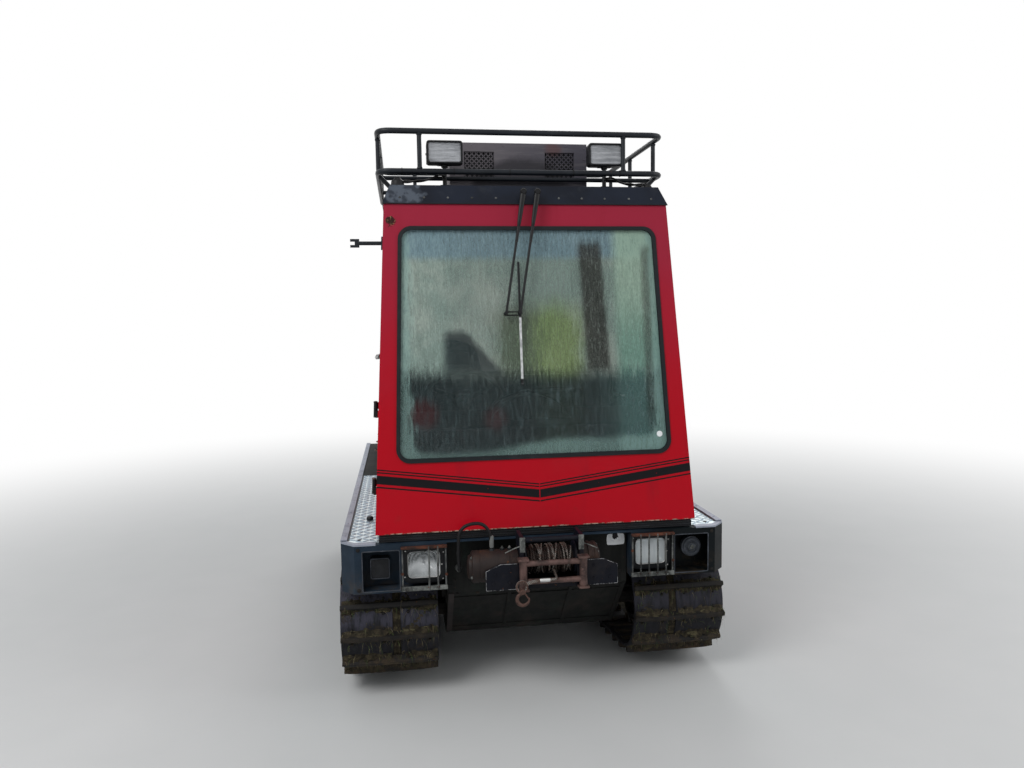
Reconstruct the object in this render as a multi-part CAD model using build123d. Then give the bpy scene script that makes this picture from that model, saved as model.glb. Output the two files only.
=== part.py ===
"""Small twin-tracked snow vehicle: tall steel cab, roof rack, front winch, load bed.

Millimetres, +Z up. The nose faces -Y and the vehicle's left side is +X.
The origin is on the ground under the middle of the overall length and width.
"""
import os
from math import atan2, cos, pi, sin, tan

from build123d import *

# Overall layout along the vehicle
body_length = 2560
winch_reach = 190
jaw_reach = 110
y_nose = winch_reach - (winch_reach + body_length + jaw_reach) / 2
y_tail = y_nose + body_length

# Running clearances
seat_gap = 0.3
door_gap = 6
knuckle_gap = 0.6

# Tracks: two rubber belts joined by steel cross-bars
track_width = 400
track_outer_x = 820
track_inner_x = track_outer_x - track_width
track_mid_x = track_outer_x - track_width / 2
belt_thick = 14
bar_height = 32
bar_base = 44
bar_tip = 20
bar_pitch = 118
outer_belt_width = 212
belt_space = 32
inner_belt_width = track_width - outer_belt_width - belt_space
bar_seat = 3
bar_phase = 0.6

# Wheels that carry the tracks
sprocket_radius = 216
sprocket_y = y_nose + 300
sprocket_z = 312
tooth_height = 33
sprocket_plate = 12
sprocket_plates_apart = 148
idler_radius = 176
idler_y = y_tail - 270
idler_z = 272
wheel_radius = 148
wheel_count = 4
first_wheel_y = sprocket_y + 340
last_wheel_y = idler_y - 330
wheel_z = bar_height + belt_thick + wheel_radius
wheel_width = 104
tyre_thick = 34
rim_half = 22
idler_rim = 12
wheel_sides = 18
hub_radius = 46
hub_length = 90
axle_radius = 19
arm_clearance = 12
arm_thick = 60

# Deck over the tracks
deck_z = 694
deck_half = track_outer_x - 14
deck_plate = 4
rail_width = 26
rail_height = 34
rail_wall = 4
rail_lip = 6
deck_front = y_nose + 33
deck_corner = 30
rail_front = deck_front + deck_corner
rail_rear = y_tail - 9
bracket_count = 6
bracket_height = 56
bracket_width = 40
bracket_wall = 5
first_bracket_y = y_nose + 130
last_bracket_y = rail_rear - 60
tail_lamp_radius = 27
tail_lamp_length = 24
tail_lamp_x = deck_half - 186

# Hull tub between the tracks
hull_gap = 40
tub_half = track_inner_x - hull_gap
tub_wall = 6
tub_floor_z = 190
tub_top_z = deck_z
tub_front_y = y_nose + 62
tub_toe_y = sprocket_y
tub_toe_z = deck_z - 236
tub_rear_y = y_tail - 30
tub_heel = (120, 160)

# Bumper box across the nose
bumper_chamfer = 55
bumper_half = deck_half - bumper_chamfer - 1
bumper_bottom_z = deck_z - 202
bumper_depth = 98
bumper_sheet = 5
winch_bay_half = tub_half + 4
bay_strip_depth = 50
recess_width = 146
recess_height = 162
recess_x = bumper_half - 104
recess_z = bumper_bottom_z + 90
lamp_frame_width = 186
lamp_frame_height = 184
lamp_frame_edge = 12
lamp_x = recess_x - 171
lamp_z = bumper_bottom_z + 96
lamp_width = 156
lamp_height = 140
lamp_rim = 8
lamp_depth = 62
lamp_set_back = 26
guard_thick = 12
guard_bar = 8
guard_bars = ((-1, (18, 55)), (1, (-55, -18, 18, 55)))
horn_x = recess_x + 16
horn_z = recess_z + 15
horn_radius = 44
horn_thick = 34
horn_set_back = 40

# Cab body
cab_length = 1387
side_deck_width = 141
cab_base_z = deck_z
cab_red_z = cab_base_z + 32
cab_height = 1328
cab_top_z = cab_red_z + cab_height
cab_front_low = y_nose + 10
cab_front_top = cab_front_low + 182
cab_rear = y_nose + cab_length
cab_half_low = deck_half - side_deck_width
cab_half_top = cab_half_low - 66
cab_wall = 34
cab_floor = 6
sill_width = 46
side_lean = (cab_half_low - cab_half_top) / (cab_top_z - cab_red_z)
front_lean = (cab_front_top - cab_front_low) / (cab_top_z - cab_red_z)

# Engine block low in the tub, behind the seats
engine_width = 430
engine_length = 520
engine_height = 380
engine_y = cab_rear + 93

# Windscreen and rear window
screen_low_z = cab_red_z + 278
screen_top_z = cab_top_z - 92
screen_half_low = cab_half_low - 89
screen_half_top = cab_half_top - 55
screen_corner = 56
rear_window_low_z = cab_top_z - 792
rear_window_top_z = cab_top_z - 124
rear_window_half = cab_half_top - 169
glass_thick = 5
glass_set_back = 8
gasket_width = 16
gasket_proud = 5
gasket_inside = 3

# Doors, hinged at their front edge
door_front = y_nose + 172
door_rear = cab_rear - 302
door_low_z = cab_red_z + 38
door_top_z = cab_top_z - 68
door_belt_z = rear_window_low_z
door_top_front = door_front + 124
door_corner = 46
door_recess = 60
door_skin = 16
window_border = 66
hinge_radius = 9
hinge_length = 62
hinge_offset = 13
hinge_leaf = 34
hinge_z = (door_low_z + 96, door_low_z + 416)
handle_length = 120
handle_thick = 14
handle_out = 26
handle_z = door_belt_z + 130

# Roof
roof_height = 80
roof_top_z = cab_top_z + roof_height
roof_half_top = cab_half_top - 26
roof_lip = 6
roof_bevel = 34
roof_wall = 26

# Roof box with two mesh grilles
box_front = y_nose + 500
box_length = 360
box_left = -306
box_right = 326
box_top_z = roof_top_z + 238
box_sheet = 4
grille_width = 138
grille_height = 126
grille_z = roof_top_z + 136
grille_x = (-172, 199)
grille_pitch = 30
grille_strip = 6
grille_thick = 3
grille_border = 8

# Roof rack basket
tube_radius = 12.5
thin_tube_radius = 10
rack_front = cab_front_top - roof_lip + 126
rack_rear = cab_rear - 117
rack_half = cab_half_top + 22
rack_low_z = roof_top_z + 73
rack_top_z = roof_top_z + 240
rack_corner = 60
rack_post_x = rack_half - 176
rack_foot_inset = 100
rack_foot = 38
rack_foot_thick = 14

# Work lamps
work_lamp_width = 157
work_lamp_height = 100
work_lamp_depth = 74
work_lamp_rim = 8
work_lamp_y = box_front - 120
work_lamp_z = roof_top_z + 162
work_lamp_x = (box_left - 30, box_right + 51)
stem_radius = 9
stem_foot = 44
stem_foot_height = 26

# Bare mirror bracket on the right front corner
mirror_y = y_nose + 188
mirror_z = cab_top_z - 161
mirror_arm = 100
mirror_fork = 30
mirror_fork_gap = 14

# Wiper
wiper_x = (-25, 34)
wiper_z = cab_top_z + 43
wiper_arm_length = 512
wiper_lean_x = -88
wiper_standoff = 34
wiper_bar = 6
wiper_hub = 14
link_drop = 20
blade_above = 216
blade_below = 296

# Winch
winch_x = 25
winch_y = y_nose - 46
winch_z = deck_z - 82
drum_length = 226
rope_radius = 54
flange_radius = 66
flange_thick = 10
flange_gap = 5
drum_shaft_radius = 24
shaft_clearance = 0.05
winch_plate_thick = 6
winch_plate_y = y_nose - 124
winch_plate_half = 266
winch_plate_low = winch_z - 95
winch_plate_shoulder = winch_z - 16
winch_plate_high = winch_z + 10
winch_plate_chamfer = 60
winch_base_drop = 16
winch_base_thick = 8
end_plate_thick = 14
end_plate_top = winch_z + 110
tie_rod_radius = 10
motor_radius = 64
motor_length = 188
motor_cap = 16
motor_drop = 18
gear_radius = 60
gear_length = 78
roller_spacing = 120
roller_radius = 17
guide_roller_radius = 12
guide_roller_z = (winch_z - 60, winch_z + 12)
fairlead_low = winch_plate_low
fairlead_high = winch_z + 34
fairlead_end = 8
hook_bar = 8
hook_eye = 20
hook_bowl = 24
rope_thick = 10
cable_thick = 14

# Seats and controls
seat_width = 440
seat_aisle = 50
seat_x = seat_width / 2 + seat_aisle
seat_length = 470
seat_back_room = 277
seat_front = cab_rear - seat_back_room - seat_length
seat_top_z = cab_base_z + 366
seat_pad = 130
driver_back = 440
passenger_back = 160
seat_box_width = 380
dash_half = cab_half_low - 105
dash_leg = 30
column_radius = 22
wheel_ring_radius = 175
wheel_tube = 13
wheel_hub_radius = 30

# Load bed
bed_half = deck_half - 114
bed_front = cab_rear + 14
bed_side_top_z = deck_z + 168
bed_wall = 26
bed_floor = 4
gate_hinge_radius = 10
gate_hinge_x = (-430, 0, 430)
gate_knuckle = 50
gate_frame = 60
gate_rib = 26

# Tow jaw
jaw_z = deck_z - 224
jaw_half = 70
jaw_plate = 12
jaw_ear_thick = 14
jaw_ear_gap = 40
jaw_ear_radius = 34
jaw_pin_radius = 13

all_nodes = []


def block(x0, x1, y0, y1, z0, z1):
    """Box between two opposite corners."""
    return Pos((x0 + x1) / 2, (y0 + y1) / 2, (z0 + z1) / 2) * Box(x1 - x0, y1 - y0, z1 - z0)


def side_prism(points, x0, x1, corner=0):
    """Side outline in Y and Z, carried from x0 to x1."""
    outline = Polygon(*points, align=None)
    if corner:
        outline = fillet(outline.vertices(), corner)
    return extrude(Plane.YZ.offset(x0) * outline, amount=x1 - x0, dir=(1, 0, 0))


def front_prism(points, y0, y1, corner=0):
    """Front outline in X and Z, carried from y0 back to y1."""
    outline = Polygon(*points, align=None)
    if corner:
        outline = fillet(outline.vertices(), corner)
    return extrude(Plane.XZ.offset(-y0) * outline, amount=y1 - y0, dir=(0, 1, 0))


def pillow(x, z, width, height, y0, y1, corner):
    """Rounded rectangle about a point in the front view, carried from y0 back to y1."""
    half_w = width / 2
    half_h = height / 2
    return front_prism([(x - half_w, z - half_h), (x + half_w, z - half_h), (x + half_w, z + half_h),
                        (x - half_w, z + half_h)], y0, y1, corner)


def rod(start, end, radius):
    """Round bar between two points."""
    start = Vector(*start)
    path = Vector(*end) - start
    return extrude(Plane(origin=start, z_dir=path) * Circle(radius), amount=path.length)


def thin_bar(start, end, radius):
    """Eight-sided bar between two points, for thin tubes and rods."""
    start = Vector(*start)
    path = Vector(*end) - start
    return extrude(Plane(origin=start, z_dir=path) * RegularPolygon(radius, 8), amount=path.length)


def mirrored(shape):
    """The same piece on the vehicle's other side."""
    return mirror(shape, about=Plane.YZ)


def save(node, *shapes):
    """Writes one node of one or more solids."""
    solids = []
    for shape in shapes:
        solids.extend(shape.solids())
    all_nodes.append(node)
    export_step(Compound(solids), f"parts/{node}.step")


# Tracks

def belt_outline():
    """Inner side outline of the belt, pulled tight round sprocket, end wheels and idler."""
    pulleys = [(sprocket_y, sprocket_z, sprocket_radius), (first_wheel_y, wheel_z, wheel_radius),
               (last_wheel_y, wheel_z, wheel_radius), (idler_y, idler_z, idler_radius)]
    edges = []
    for y, z, radius in pulleys:
        edges.extend((Pos(y, z) * Circle(radius)).edges())
    return make_hull(edges)


def make_track():
    """Closed loop of two belts with a steel cross-bar every pitch, on the +X side."""
    inner = belt_outline()
    outer = offset(inner, amount=belt_thick)
    ring = Plane.YZ * (outer - inner)
    belts = []
    for x0, width in ((track_inner_x, inner_belt_width),
                      (track_outer_x - outer_belt_width, outer_belt_width)):
        belts.append(extrude(Pos(x0, 0, 0) * ring, amount=width, dir=(1, 0, 0)))
    loop = outer.wire()
    count = round(loop.length / bar_pitch)
    section = Polygon((-bar_base / 2, -bar_seat), (bar_base / 2, -bar_seat),
                      (bar_tip / 2, bar_height), (-bar_tip / 2, bar_height), align=None)
    centre = Vector((sprocket_y + idler_y) / 2, (sprocket_z + idler_z) / 2)
    bars = []
    for k in range(count):
        foot = loop.position_at((k + bar_phase) / count)
        along = loop.tangent_at((k + bar_phase) / count)
        out = Vector(along.Y, -along.X)
        if out.dot(foot - centre) < 0:
            out = -out
        place = Plane(origin=foot, x_dir=Vector(out.Y, -out.X), z_dir=(0, 0, 1))
        bar = Plane.YZ * (place * section)
        bars.append(extrude(Pos(track_inner_x, 0, 0) * bar, amount=track_width, dir=(1, 0, 0)))
    return belts[0].fuse(belts[1], *bars)


def wheel_slice(y, z, radius, across0, across1):
    """Many-sided disc about a wheel's axle, between two places across the track."""
    sides = max(10, round(wheel_sides * radius / wheel_radius))
    place = Plane(origin=(track_mid_x + across0, y, z), x_dir=(0, 1, 0), z_dir=(1, 0, 0))
    return extrude(place * RegularPolygon(radius, sides), amount=across1 - across0)


def make_axle(y, z):
    """Stub axle from the arm's face to the wheel's hub."""
    return wheel_slice(y, z, axle_radius, track_inner_x - arm_clearance - track_mid_x, -hub_length / 2)


def make_wheel(y, z):
    """Disc wheel with its hub and stub axle, and its rubber tyre, on the +X side."""
    rim_radius = wheel_radius - tyre_thick
    half = wheel_width / 2
    disc = wheel_slice(y, z, rim_radius, -rim_half, rim_half)
    hub = wheel_slice(y, z, hub_radius, -hub_length / 2, hub_length / 2)
    tyre = wheel_slice(y, z, wheel_radius - seat_gap, -half, half)
    return disc.fuse(hub, make_axle(y, z)), tyre - wheel_slice(y, z, rim_radius, -half - 1, half + 1)


def make_idler(y, z):
    """Bare steel idler with a wide flat rim, hub and stub axle, on the +X side."""
    half = wheel_width / 2
    ring = wheel_slice(y, z, idler_radius - seat_gap, -half, half)
    ring -= wheel_slice(y, z, idler_radius - idler_rim, -half - 1, half + 1)
    disc = wheel_slice(y, z, idler_radius - idler_rim, -idler_rim / 2, idler_rim / 2)
    hub = wheel_slice(y, z, hub_radius, -hub_length / 2, hub_length / 2)
    return ring.fuse(disc, hub, make_axle(y, z))


def wheel_places():
    """Y of each road wheel."""
    step = (last_wheel_y - first_wheel_y) / (wheel_count - 1)
    return [first_wheel_y + step * i for i in range(wheel_count)]


def make_running_gear():
    """Tracks, wheels with their axles, arms and sprockets on both sides."""
    track = make_track()
    save("track_left", track)
    save("track_right", mirrored(track))
    rims = []
    tyres = []
    arms = []
    arm_x0 = tub_half
    arm_x1 = track_inner_x - arm_clearance
    half = arm_thick / 2
    for y in wheel_places():
        rim, tyre = make_wheel(y, wheel_z)
        rims.append(rim)
        tyres.append(tyre)
        pivot_y = y + 140
        pivot_z = wheel_z + 125
        arms.append(side_prism([(y - half, wheel_z - half), (y + half, wheel_z - half),
                                (pivot_y + half, pivot_z - half), (pivot_y + half, pivot_z + half),
                                (pivot_y - half, pivot_z + half), (y - half, wheel_z + half)],
                               arm_x0, arm_x1))
    rims.append(make_idler(idler_y, idler_z))
    arms.append(block(arm_x0, arm_x1, idler_y - 150, idler_y + 40, idler_z - half, idler_z + half))
    save("wheel_rims", *rims, *[mirrored(s) for s in rims])
    save("wheel_tyres", *tyres, *[mirrored(s) for s in tyres])
    save("wheel_arms", *arms, *[mirrored(s) for s in arms])
    sprocket = make_sprocket()
    save("drive_sprockets", sprocket, mirrored(sprocket))


def make_sprocket():
    """Twin toothed drive wheel on a drum, with its shaft from the hull, on the +X side."""
    teeth = round(2 * pi * sprocket_radius / bar_pitch)
    tip = sprocket_radius - 1
    root = tip - tooth_height
    outline = RegularPolygon(root, teeth)
    for i in range(teeth):
        tooth = Polygon((root - 8, -24), (tip, -13), (tip, 13), (root - 8, 24), align=None)
        outline += Rot(0, 0, 360 * i / teeth) * tooth
    slot = Polygon((root * 0.5, -24), (root * 0.8, -44), (root * 0.8, 44), (root * 0.5, 24), align=None)
    for i in range(6):
        outline -= Rot(0, 0, 60 * i) * slot
    half = sprocket_plates_apart / 2

    def along_shaft(x0, x1, radius):
        return wheel_slice(sprocket_y, sprocket_z, radius, x0 - track_mid_x, x1 - track_mid_x)

    plates = []
    for x in (track_mid_x - half - sprocket_plate / 2, track_mid_x + half - sprocket_plate / 2):
        plates.append(extrude(Plane(origin=(x, sprocket_y, sprocket_z), x_dir=(0, 1, 0),
                                    z_dir=(1, 0, 0)) * outline, amount=sprocket_plate))
    inside = half - sprocket_plate / 2
    outside = half + sprocket_plate / 2
    drum = along_shaft(track_mid_x - inside, track_mid_x + inside, 70)
    shaft = along_shaft(tub_half, track_mid_x - outside, 38)
    cap = along_shaft(track_mid_x + outside, track_mid_x + outside + 24, 52)
    return plates[0].fuse(plates[1], drum, shaft, cap)


# Hull

def make_tub():
    """Open-topped steel hull with a sloped belly plate under the nose."""
    outer = Polygon((tub_front_y, tub_toe_z), (tub_toe_y, tub_floor_z),
                    (tub_rear_y - tub_heel[0], tub_floor_z), (tub_rear_y, tub_floor_z + tub_heel[1]),
                    (tub_rear_y, tub_top_z), (tub_front_y, tub_top_z), align=None)
    inner = offset(outer, amount=-tub_wall, kind=Kind.INTERSECTION)
    tub = extrude(Plane.YZ.offset(-tub_half) * outer, amount=2 * tub_half)
    hollow = extrude(Plane.YZ.offset(-tub_half + tub_wall) * inner,
                     amount=2 * (tub_half - tub_wall))
    open_top = block(-tub_half + tub_wall, tub_half - tub_wall, tub_front_y + tub_wall,
                     tub_rear_y - tub_wall, tub_top_z - 2 * tub_wall, tub_top_z + 1)
    return tub - hollow - open_top


def make_engine():
    """Engine block standing on the tub's floor."""
    low = tub_floor_z + tub_wall
    return block(-engine_width / 2, engine_width / 2, engine_y, engine_y + engine_length,
                 low, low + engine_height)


def make_brackets():
    """Cross channels from the hull out to the deck's edge, over the tracks."""
    brackets = []
    top = deck_z - deck_plate
    low = top - bracket_height
    step = (last_bracket_y - first_bracket_y) / (bracket_count - 1)
    for i in range(bracket_count):
        y = first_bracket_y + step * i
        channel = block(tub_half, deck_half - rail_width, y, y + bracket_width, low, top)
        channel -= block(tub_half - 1, deck_half, y + bracket_wall, y + bracket_width + 1,
                         low + bracket_wall, top - bracket_wall)
        brackets.append(channel)
    return brackets


def make_deck():
    """Side deck plate beside the cab, with its front corner cut, on the +X side."""
    inner = cab_half_low - sill_width + 6
    outer = deck_half - rail_width
    plate = Polygon((inner, deck_front), (deck_half - bumper_chamfer, deck_front),
                    (outer, rail_front), (outer, cab_rear), (inner, cab_rear), align=None)
    return extrude(Plane.XY.offset(deck_z - deck_plate) * plate, amount=deck_plate)


def make_fender():
    """Dark plate over the track beside the load bed, on the +X side."""
    return block(tub_half + 2, deck_half - rail_width, cab_rear, rail_rear, deck_z - deck_plate, deck_z)


def make_rail():
    """Angle rail along the deck's outer edge, on the +X side."""
    inner = deck_half - rail_width
    low = deck_z - rail_height
    high = deck_z + rail_lip
    section = Polygon((inner, low), (deck_half, low), (deck_half, high), (inner, high), align=None)
    inside = Polygon((inner - 1, low - 1), (deck_half - rail_wall, low - 1),
                     (deck_half - rail_wall, high - rail_wall), (inner + rail_wall, high - rail_wall),
                     (inner + rail_wall, low + 2 * rail_wall), (inner - 1, low + 2 * rail_wall),
                     align=None)
    rail = extrude(Plane.XZ.offset(-rail_front) * (section - inside), amount=rail_rear - rail_front,
                   dir=(0, 1, 0))
    return rail - block(0, deck_half + 1, rail_front - 1, y_nose + bumper_depth, 0, deck_z - deck_plate)


# Bumper

def make_bumper():
    """Folded sheet box across the nose, open at the back, with lamp bays and the winch bay."""
    low = bumper_bottom_z
    high = deck_z - deck_plate
    corner_x = bumper_half + bumper_chamfer
    back = y_nose + bumper_depth
    outer = Polygon((-corner_x, back), (-corner_x, y_nose + bumper_chamfer), (-bumper_half, y_nose),
                    (bumper_half, y_nose), (corner_x, y_nose + bumper_chamfer), (corner_x, back),
                    align=None)
    inner = offset(outer, amount=-bumper_sheet, kind=Kind.INTERSECTION)
    box = extrude(Plane.XY.offset(low) * outer, amount=high - low)
    box -= extrude(Plane.XY.offset(low + bumper_sheet) * inner, amount=high - low - 2 * bumper_sheet)
    box -= block(-winch_bay_half, winch_bay_half, y_nose - 1, back + 1, low - 1,
                 high - bumper_sheet)
    box -= block(-winch_bay_half, winch_bay_half, y_nose + bay_strip_depth, back + 1, low, high + 1)
    half_w = lamp_frame_width / 2 - lamp_frame_edge + 2
    half_h = lamp_frame_height / 2 - lamp_frame_edge + 2
    for side in (-1, 1):
        for x, z, w, h in ((side * lamp_x, lamp_z, half_w, half_h),
                           (side * recess_x, recess_z, recess_width / 2, recess_height / 2)):
            box -= block(x - w, x + w, y_nose - 1, y_nose + bumper_sheet + 1, z - h, z + h)
        wall = side * (winch_bay_half + bumper_sheet / 2)
        box += block(wall - bumper_sheet / 2, wall + bumper_sheet / 2, y_nose, back, low, high)
    return box


def make_headlamp(side):
    """Rounded-square lamp body behind its bay, with the lens as a second piece."""
    x = side * lamp_x
    face = y_nose + lamp_set_back
    inner_w = lamp_width - 2 * lamp_rim
    inner_h = lamp_height - 2 * lamp_rim
    body = pillow(x, lamp_z, lamp_width, lamp_height, face, face + lamp_depth, 22)
    body -= pillow(x, lamp_z, inner_w, inner_h, face - 1, face + lamp_depth - lamp_rim + 2, 20)
    lens = pillow(x, lamp_z, inner_w - 2 * seat_gap, inner_h - 2 * seat_gap, face - 6, face + 6, 20)
    carrier = block(x - 60, x + 60, face + lamp_depth, y_nose + bumper_depth - bumper_sheet,
                    lamp_z - 20, lamp_z + 20)
    return body + carrier, lens


def make_guard(side, bars):
    """Lamp guard frame with upright bars in front of the bay."""
    x = side * lamp_x
    half_w = lamp_frame_width / 2
    half_h = lamp_frame_height / 2
    front = y_nose - guard_thick
    frame = block(x - half_w, x + half_w, front, y_nose, lamp_z - half_h, lamp_z + half_h)
    frame -= block(x - half_w + lamp_frame_edge, x + half_w - lamp_frame_edge, front - 1, y_nose + 1,
                   lamp_z - half_h + lamp_frame_edge + 2, lamp_z + half_h - lamp_frame_edge)
    for bar_x in bars:
        frame += block(x + bar_x - guard_bar / 2, x + bar_x + guard_bar / 2, front - guard_bar, front,
                       lamp_z - half_h, lamp_z + half_h)
    return frame


def make_horn():
    """Round horn in the outer bay on the vehicle's left, on a stay from the bumper's back."""
    face = y_nose + horn_set_back
    back = face + horn_thick
    disc = rod((horn_x, face, horn_z), (horn_x, back, horn_z), horn_radius)
    boss = rod((horn_x, face - 8, horn_z), (horn_x, face, horn_z), horn_radius / 2)
    stay = block(horn_x - 18, horn_x + 18, back, y_nose + bumper_depth - bumper_sheet,
                 horn_z - 12, horn_z + 12)
    return disc + boss + stay


# Cab

def cab_front_at(z):
    """Y of the cab's leaning front at a height."""
    return cab_front_low + front_lean * (z - cab_red_z)


def cab_half_at(z):
    """Half width of the cab at a height."""
    return cab_half_low - side_lean * (z - cab_red_z)


def cab_wedge(front_in, side_in, rear_in, z0=cab_red_z, z1=cab_top_z):
    """Tapered cab block between two heights, moved inwards from the outer faces."""
    rear = cab_rear - rear_in
    low_half = cab_half_at(z0) - side_in
    top_half = cab_half_at(z1) - side_in
    side = [(cab_front_at(z0) + front_in, z0), (rear, z0), (rear, z1), (cab_front_at(z1) + front_in, z1)]
    front = [(-low_half, z0), (low_half, z0), (top_half, z1), (-top_half, z1)]
    reach = 2 * cab_half_low
    return side_prism(side, -reach, reach) & front_prism(front, cab_front_low - reach, cab_rear + reach)


def screen_prism(shrink):
    """Windscreen outline carried along the vehicle, smaller all round by shrink."""
    points = [(-screen_half_low + shrink, screen_low_z + shrink),
              (screen_half_low - shrink, screen_low_z + shrink),
              (screen_half_top - shrink, screen_top_z - shrink),
              (-screen_half_top + shrink, screen_top_z - shrink)]
    return front_prism(points, cab_front_low - 100, cab_front_top + 200, screen_corner - shrink)


def rear_window_prism(shrink):
    """Rear window outline carried along the vehicle, smaller all round by shrink."""
    half = rear_window_half - shrink
    low = rear_window_low_z + shrink
    high = rear_window_top_z - shrink
    return front_prism([(-half, low), (half, low), (half, high), (-half, high)],
                       cab_rear - 200, cab_rear + 100, screen_corner - shrink)


def front_slab(d0, d1):
    """Slice of the cab's leaning front between two depths."""
    return cab_wedge(d0, 0, 0) - cab_wedge(d1, -50, -50, cab_red_z - 1, cab_top_z + 1)


def rear_slab(d0, d1):
    """Slice of the cab's rear between two depths."""
    return cab_wedge(0, 0, d0) - cab_wedge(-400, -50, d1, cab_red_z - 1, cab_top_z + 1)


def side_slab(d0, d1):
    """Slice of the cab's +X side between two depths."""
    slab = cab_wedge(cab_wall, d0, cab_wall) - cab_wedge(-50, d1, -50, cab_red_z - 1, cab_top_z + 1)
    return slab & block(0, 2 * cab_half_low, y_nose - 100, y_tail, 0, 2 * cab_top_z)


def door_prism(grow):
    """Door outline carried across the vehicle on the +X side, larger all round by grow."""
    points = [(door_front - grow, door_low_z - grow), (door_rear + grow, door_low_z - grow),
              (door_rear + grow, door_top_z + grow), (door_top_front - grow, door_top_z + grow),
              (door_front - grow, door_belt_z)]
    return side_prism(points, 100, 2 * cab_half_low, door_corner + grow)


def door_window_prism(shrink):
    """Door window outline carried across the vehicle on the +X side."""
    inset = window_border + shrink
    points = [(door_front + inset + 26, door_belt_z + 34 + shrink),
              (door_rear - inset, door_belt_z + 34 + shrink), (door_rear - inset, door_top_z - inset),
              (door_top_front + inset - 8, door_top_z - inset)]
    return side_prism(points, 100, 2 * cab_half_low, 40 - shrink)


def hinge_point(z):
    """Point on the door's hinge axis at a height, with the axis outside the cab's skin."""
    return (cab_half_at(z) + hinge_offset, door_front - door_gap / 2, z)


def make_cab():
    """Front, sides and rear panels with their openings, and the base ring with its floor."""
    save("cab_front", front_slab(0, cab_wall) - screen_prism(0))
    save("cab_rear", rear_slab(0, cab_wall) - rear_window_prism(0) - front_slab(0, cab_wall))
    side = side_slab(0, cab_wall) - door_prism(door_gap)
    for z in hinge_z:
        x, y, _ = hinge_point(z)
        half = z + hinge_length / 2
        side += rod((x, y, z), hinge_point(half - knuckle_gap / 2), hinge_radius)
        side += block(x - hinge_offset - 6, x, y - hinge_leaf, y - 1, z + 2, half - 3)
    save("cab_sides", side, mirrored(side))
    ring = cab_wedge(12, 14, 0, cab_base_z, cab_red_z)
    ring -= cab_wedge(60, 60, sill_width, cab_base_z + cab_floor, cab_red_z + 1)
    low = seat_top_z - seat_pad
    half = seat_box_width / 2
    boxes = []
    for x in (-seat_x, seat_x):
        boxes.append(block(x - half, x + half, seat_front + 40, seat_front + seat_length + 30,
                           cab_base_z + cab_floor, low))
    save("cab_base", ring.fuse(*boxes))


def make_door():
    """Front-hinged side door on the +X side: panel, window gasket and glass."""
    panel = side_slab(0, cab_wall) & door_prism(0)
    panel -= door_window_prism(0)
    y0 = door_front + door_recess
    y1 = door_rear - door_recess
    z0 = door_low_z + door_recess
    z1 = door_belt_z - door_recess / 2
    panel -= side_slab(door_skin, cab_wall) & side_prism([(y0, z0), (y1, z0), (y1, z1), (y0, z1)],
                                                         100, 2 * cab_half_low, 30)
    for z in hinge_z:
        x, y, mid = hinge_point(z + hinge_length / 2 + knuckle_gap / 2)
        panel += rod((x, y, mid), hinge_point(z + hinge_length), hinge_radius)
        panel += block(x - hinge_offset - 6, x, y + 1, y + hinge_leaf + 2, mid + 3,
                       z + hinge_length - 2)
    x = cab_half_at(handle_z)
    y = door_rear - window_border / 2
    panel += block(x + handle_out, x + handle_out + handle_thick, y - handle_length, y + 12,
                   handle_z - 10, handle_z + 10)
    panel += block(x - 8, x + handle_out, y - 12, y + 12, handle_z - handle_thick,
                   handle_z + handle_thick)
    gasket = side_slab(-gasket_inside, cab_wall + gasket_inside)
    gasket &= door_window_prism(0) - door_window_prism(gasket_width)
    middle = cab_wall / 2
    glass = side_slab(middle - glass_thick / 2, middle + glass_thick / 2)
    glass &= door_window_prism(gasket_width)
    return panel, gasket, glass


def make_glazing():
    """Windscreen and rear window, each in a black rubber gasket."""
    inside = cab_wall + gasket_inside
    front_ring = front_slab(-gasket_proud, inside) & (screen_prism(0) - screen_prism(gasket_width))
    rear_ring = rear_slab(-gasket_proud, inside) & (rear_window_prism(0)
                                                    - rear_window_prism(gasket_width))
    save("window_gaskets", front_ring, rear_ring)
    depth = glass_set_back + glass_thick
    windscreen = front_slab(glass_set_back, depth) & screen_prism(gasket_width)
    rear_window = rear_slab(glass_set_back, depth) & rear_window_prism(gasket_width)
    save("window_glass", windscreen, rear_window)


def make_roof():
    """Bevelled roof cap, open below, resting on the cab's panels."""
    rear = cab_rear + roof_lip
    front = cab_front_top - roof_lip
    low_half = cab_half_top + roof_lip

    def cap(inward, z0, z1):
        side = [(front + inward, z0), (rear - inward, z0), (rear - roof_bevel - inward, z1),
                (front + roof_bevel + inward, z1)]
        face = [(-low_half + inward, z0), (low_half - inward, z0), (roof_half_top - inward, z1),
                (-roof_half_top + inward, z1)]
        reach = 2 * cab_half_low
        return side_prism(side, -reach, reach) & front_prism(face, front - reach, rear + reach)

    roof = cap(0, cab_top_z, roof_top_z)
    roof -= cap(roof_wall, cab_top_z - 0.01, roof_top_z - roof_wall)
    return roof


def make_roof_box():
    """Sheet housing on the roof with two openings in its front for the mesh grilles."""
    rear = box_front + box_length
    box = block(box_left, box_right, box_front, rear, roof_top_z, box_top_z)
    box -= block(box_left + box_sheet, box_right - box_sheet, box_front + box_sheet,
                 rear - box_sheet, roof_top_z - 1, box_top_z - box_sheet)
    for x in grille_x:
        box -= block(x - grille_width / 2, x + grille_width / 2, box_front - 1,
                     box_front + box_sheet + 1, grille_z - grille_height / 2,
                     grille_z + grille_height / 2)
    return box


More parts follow.
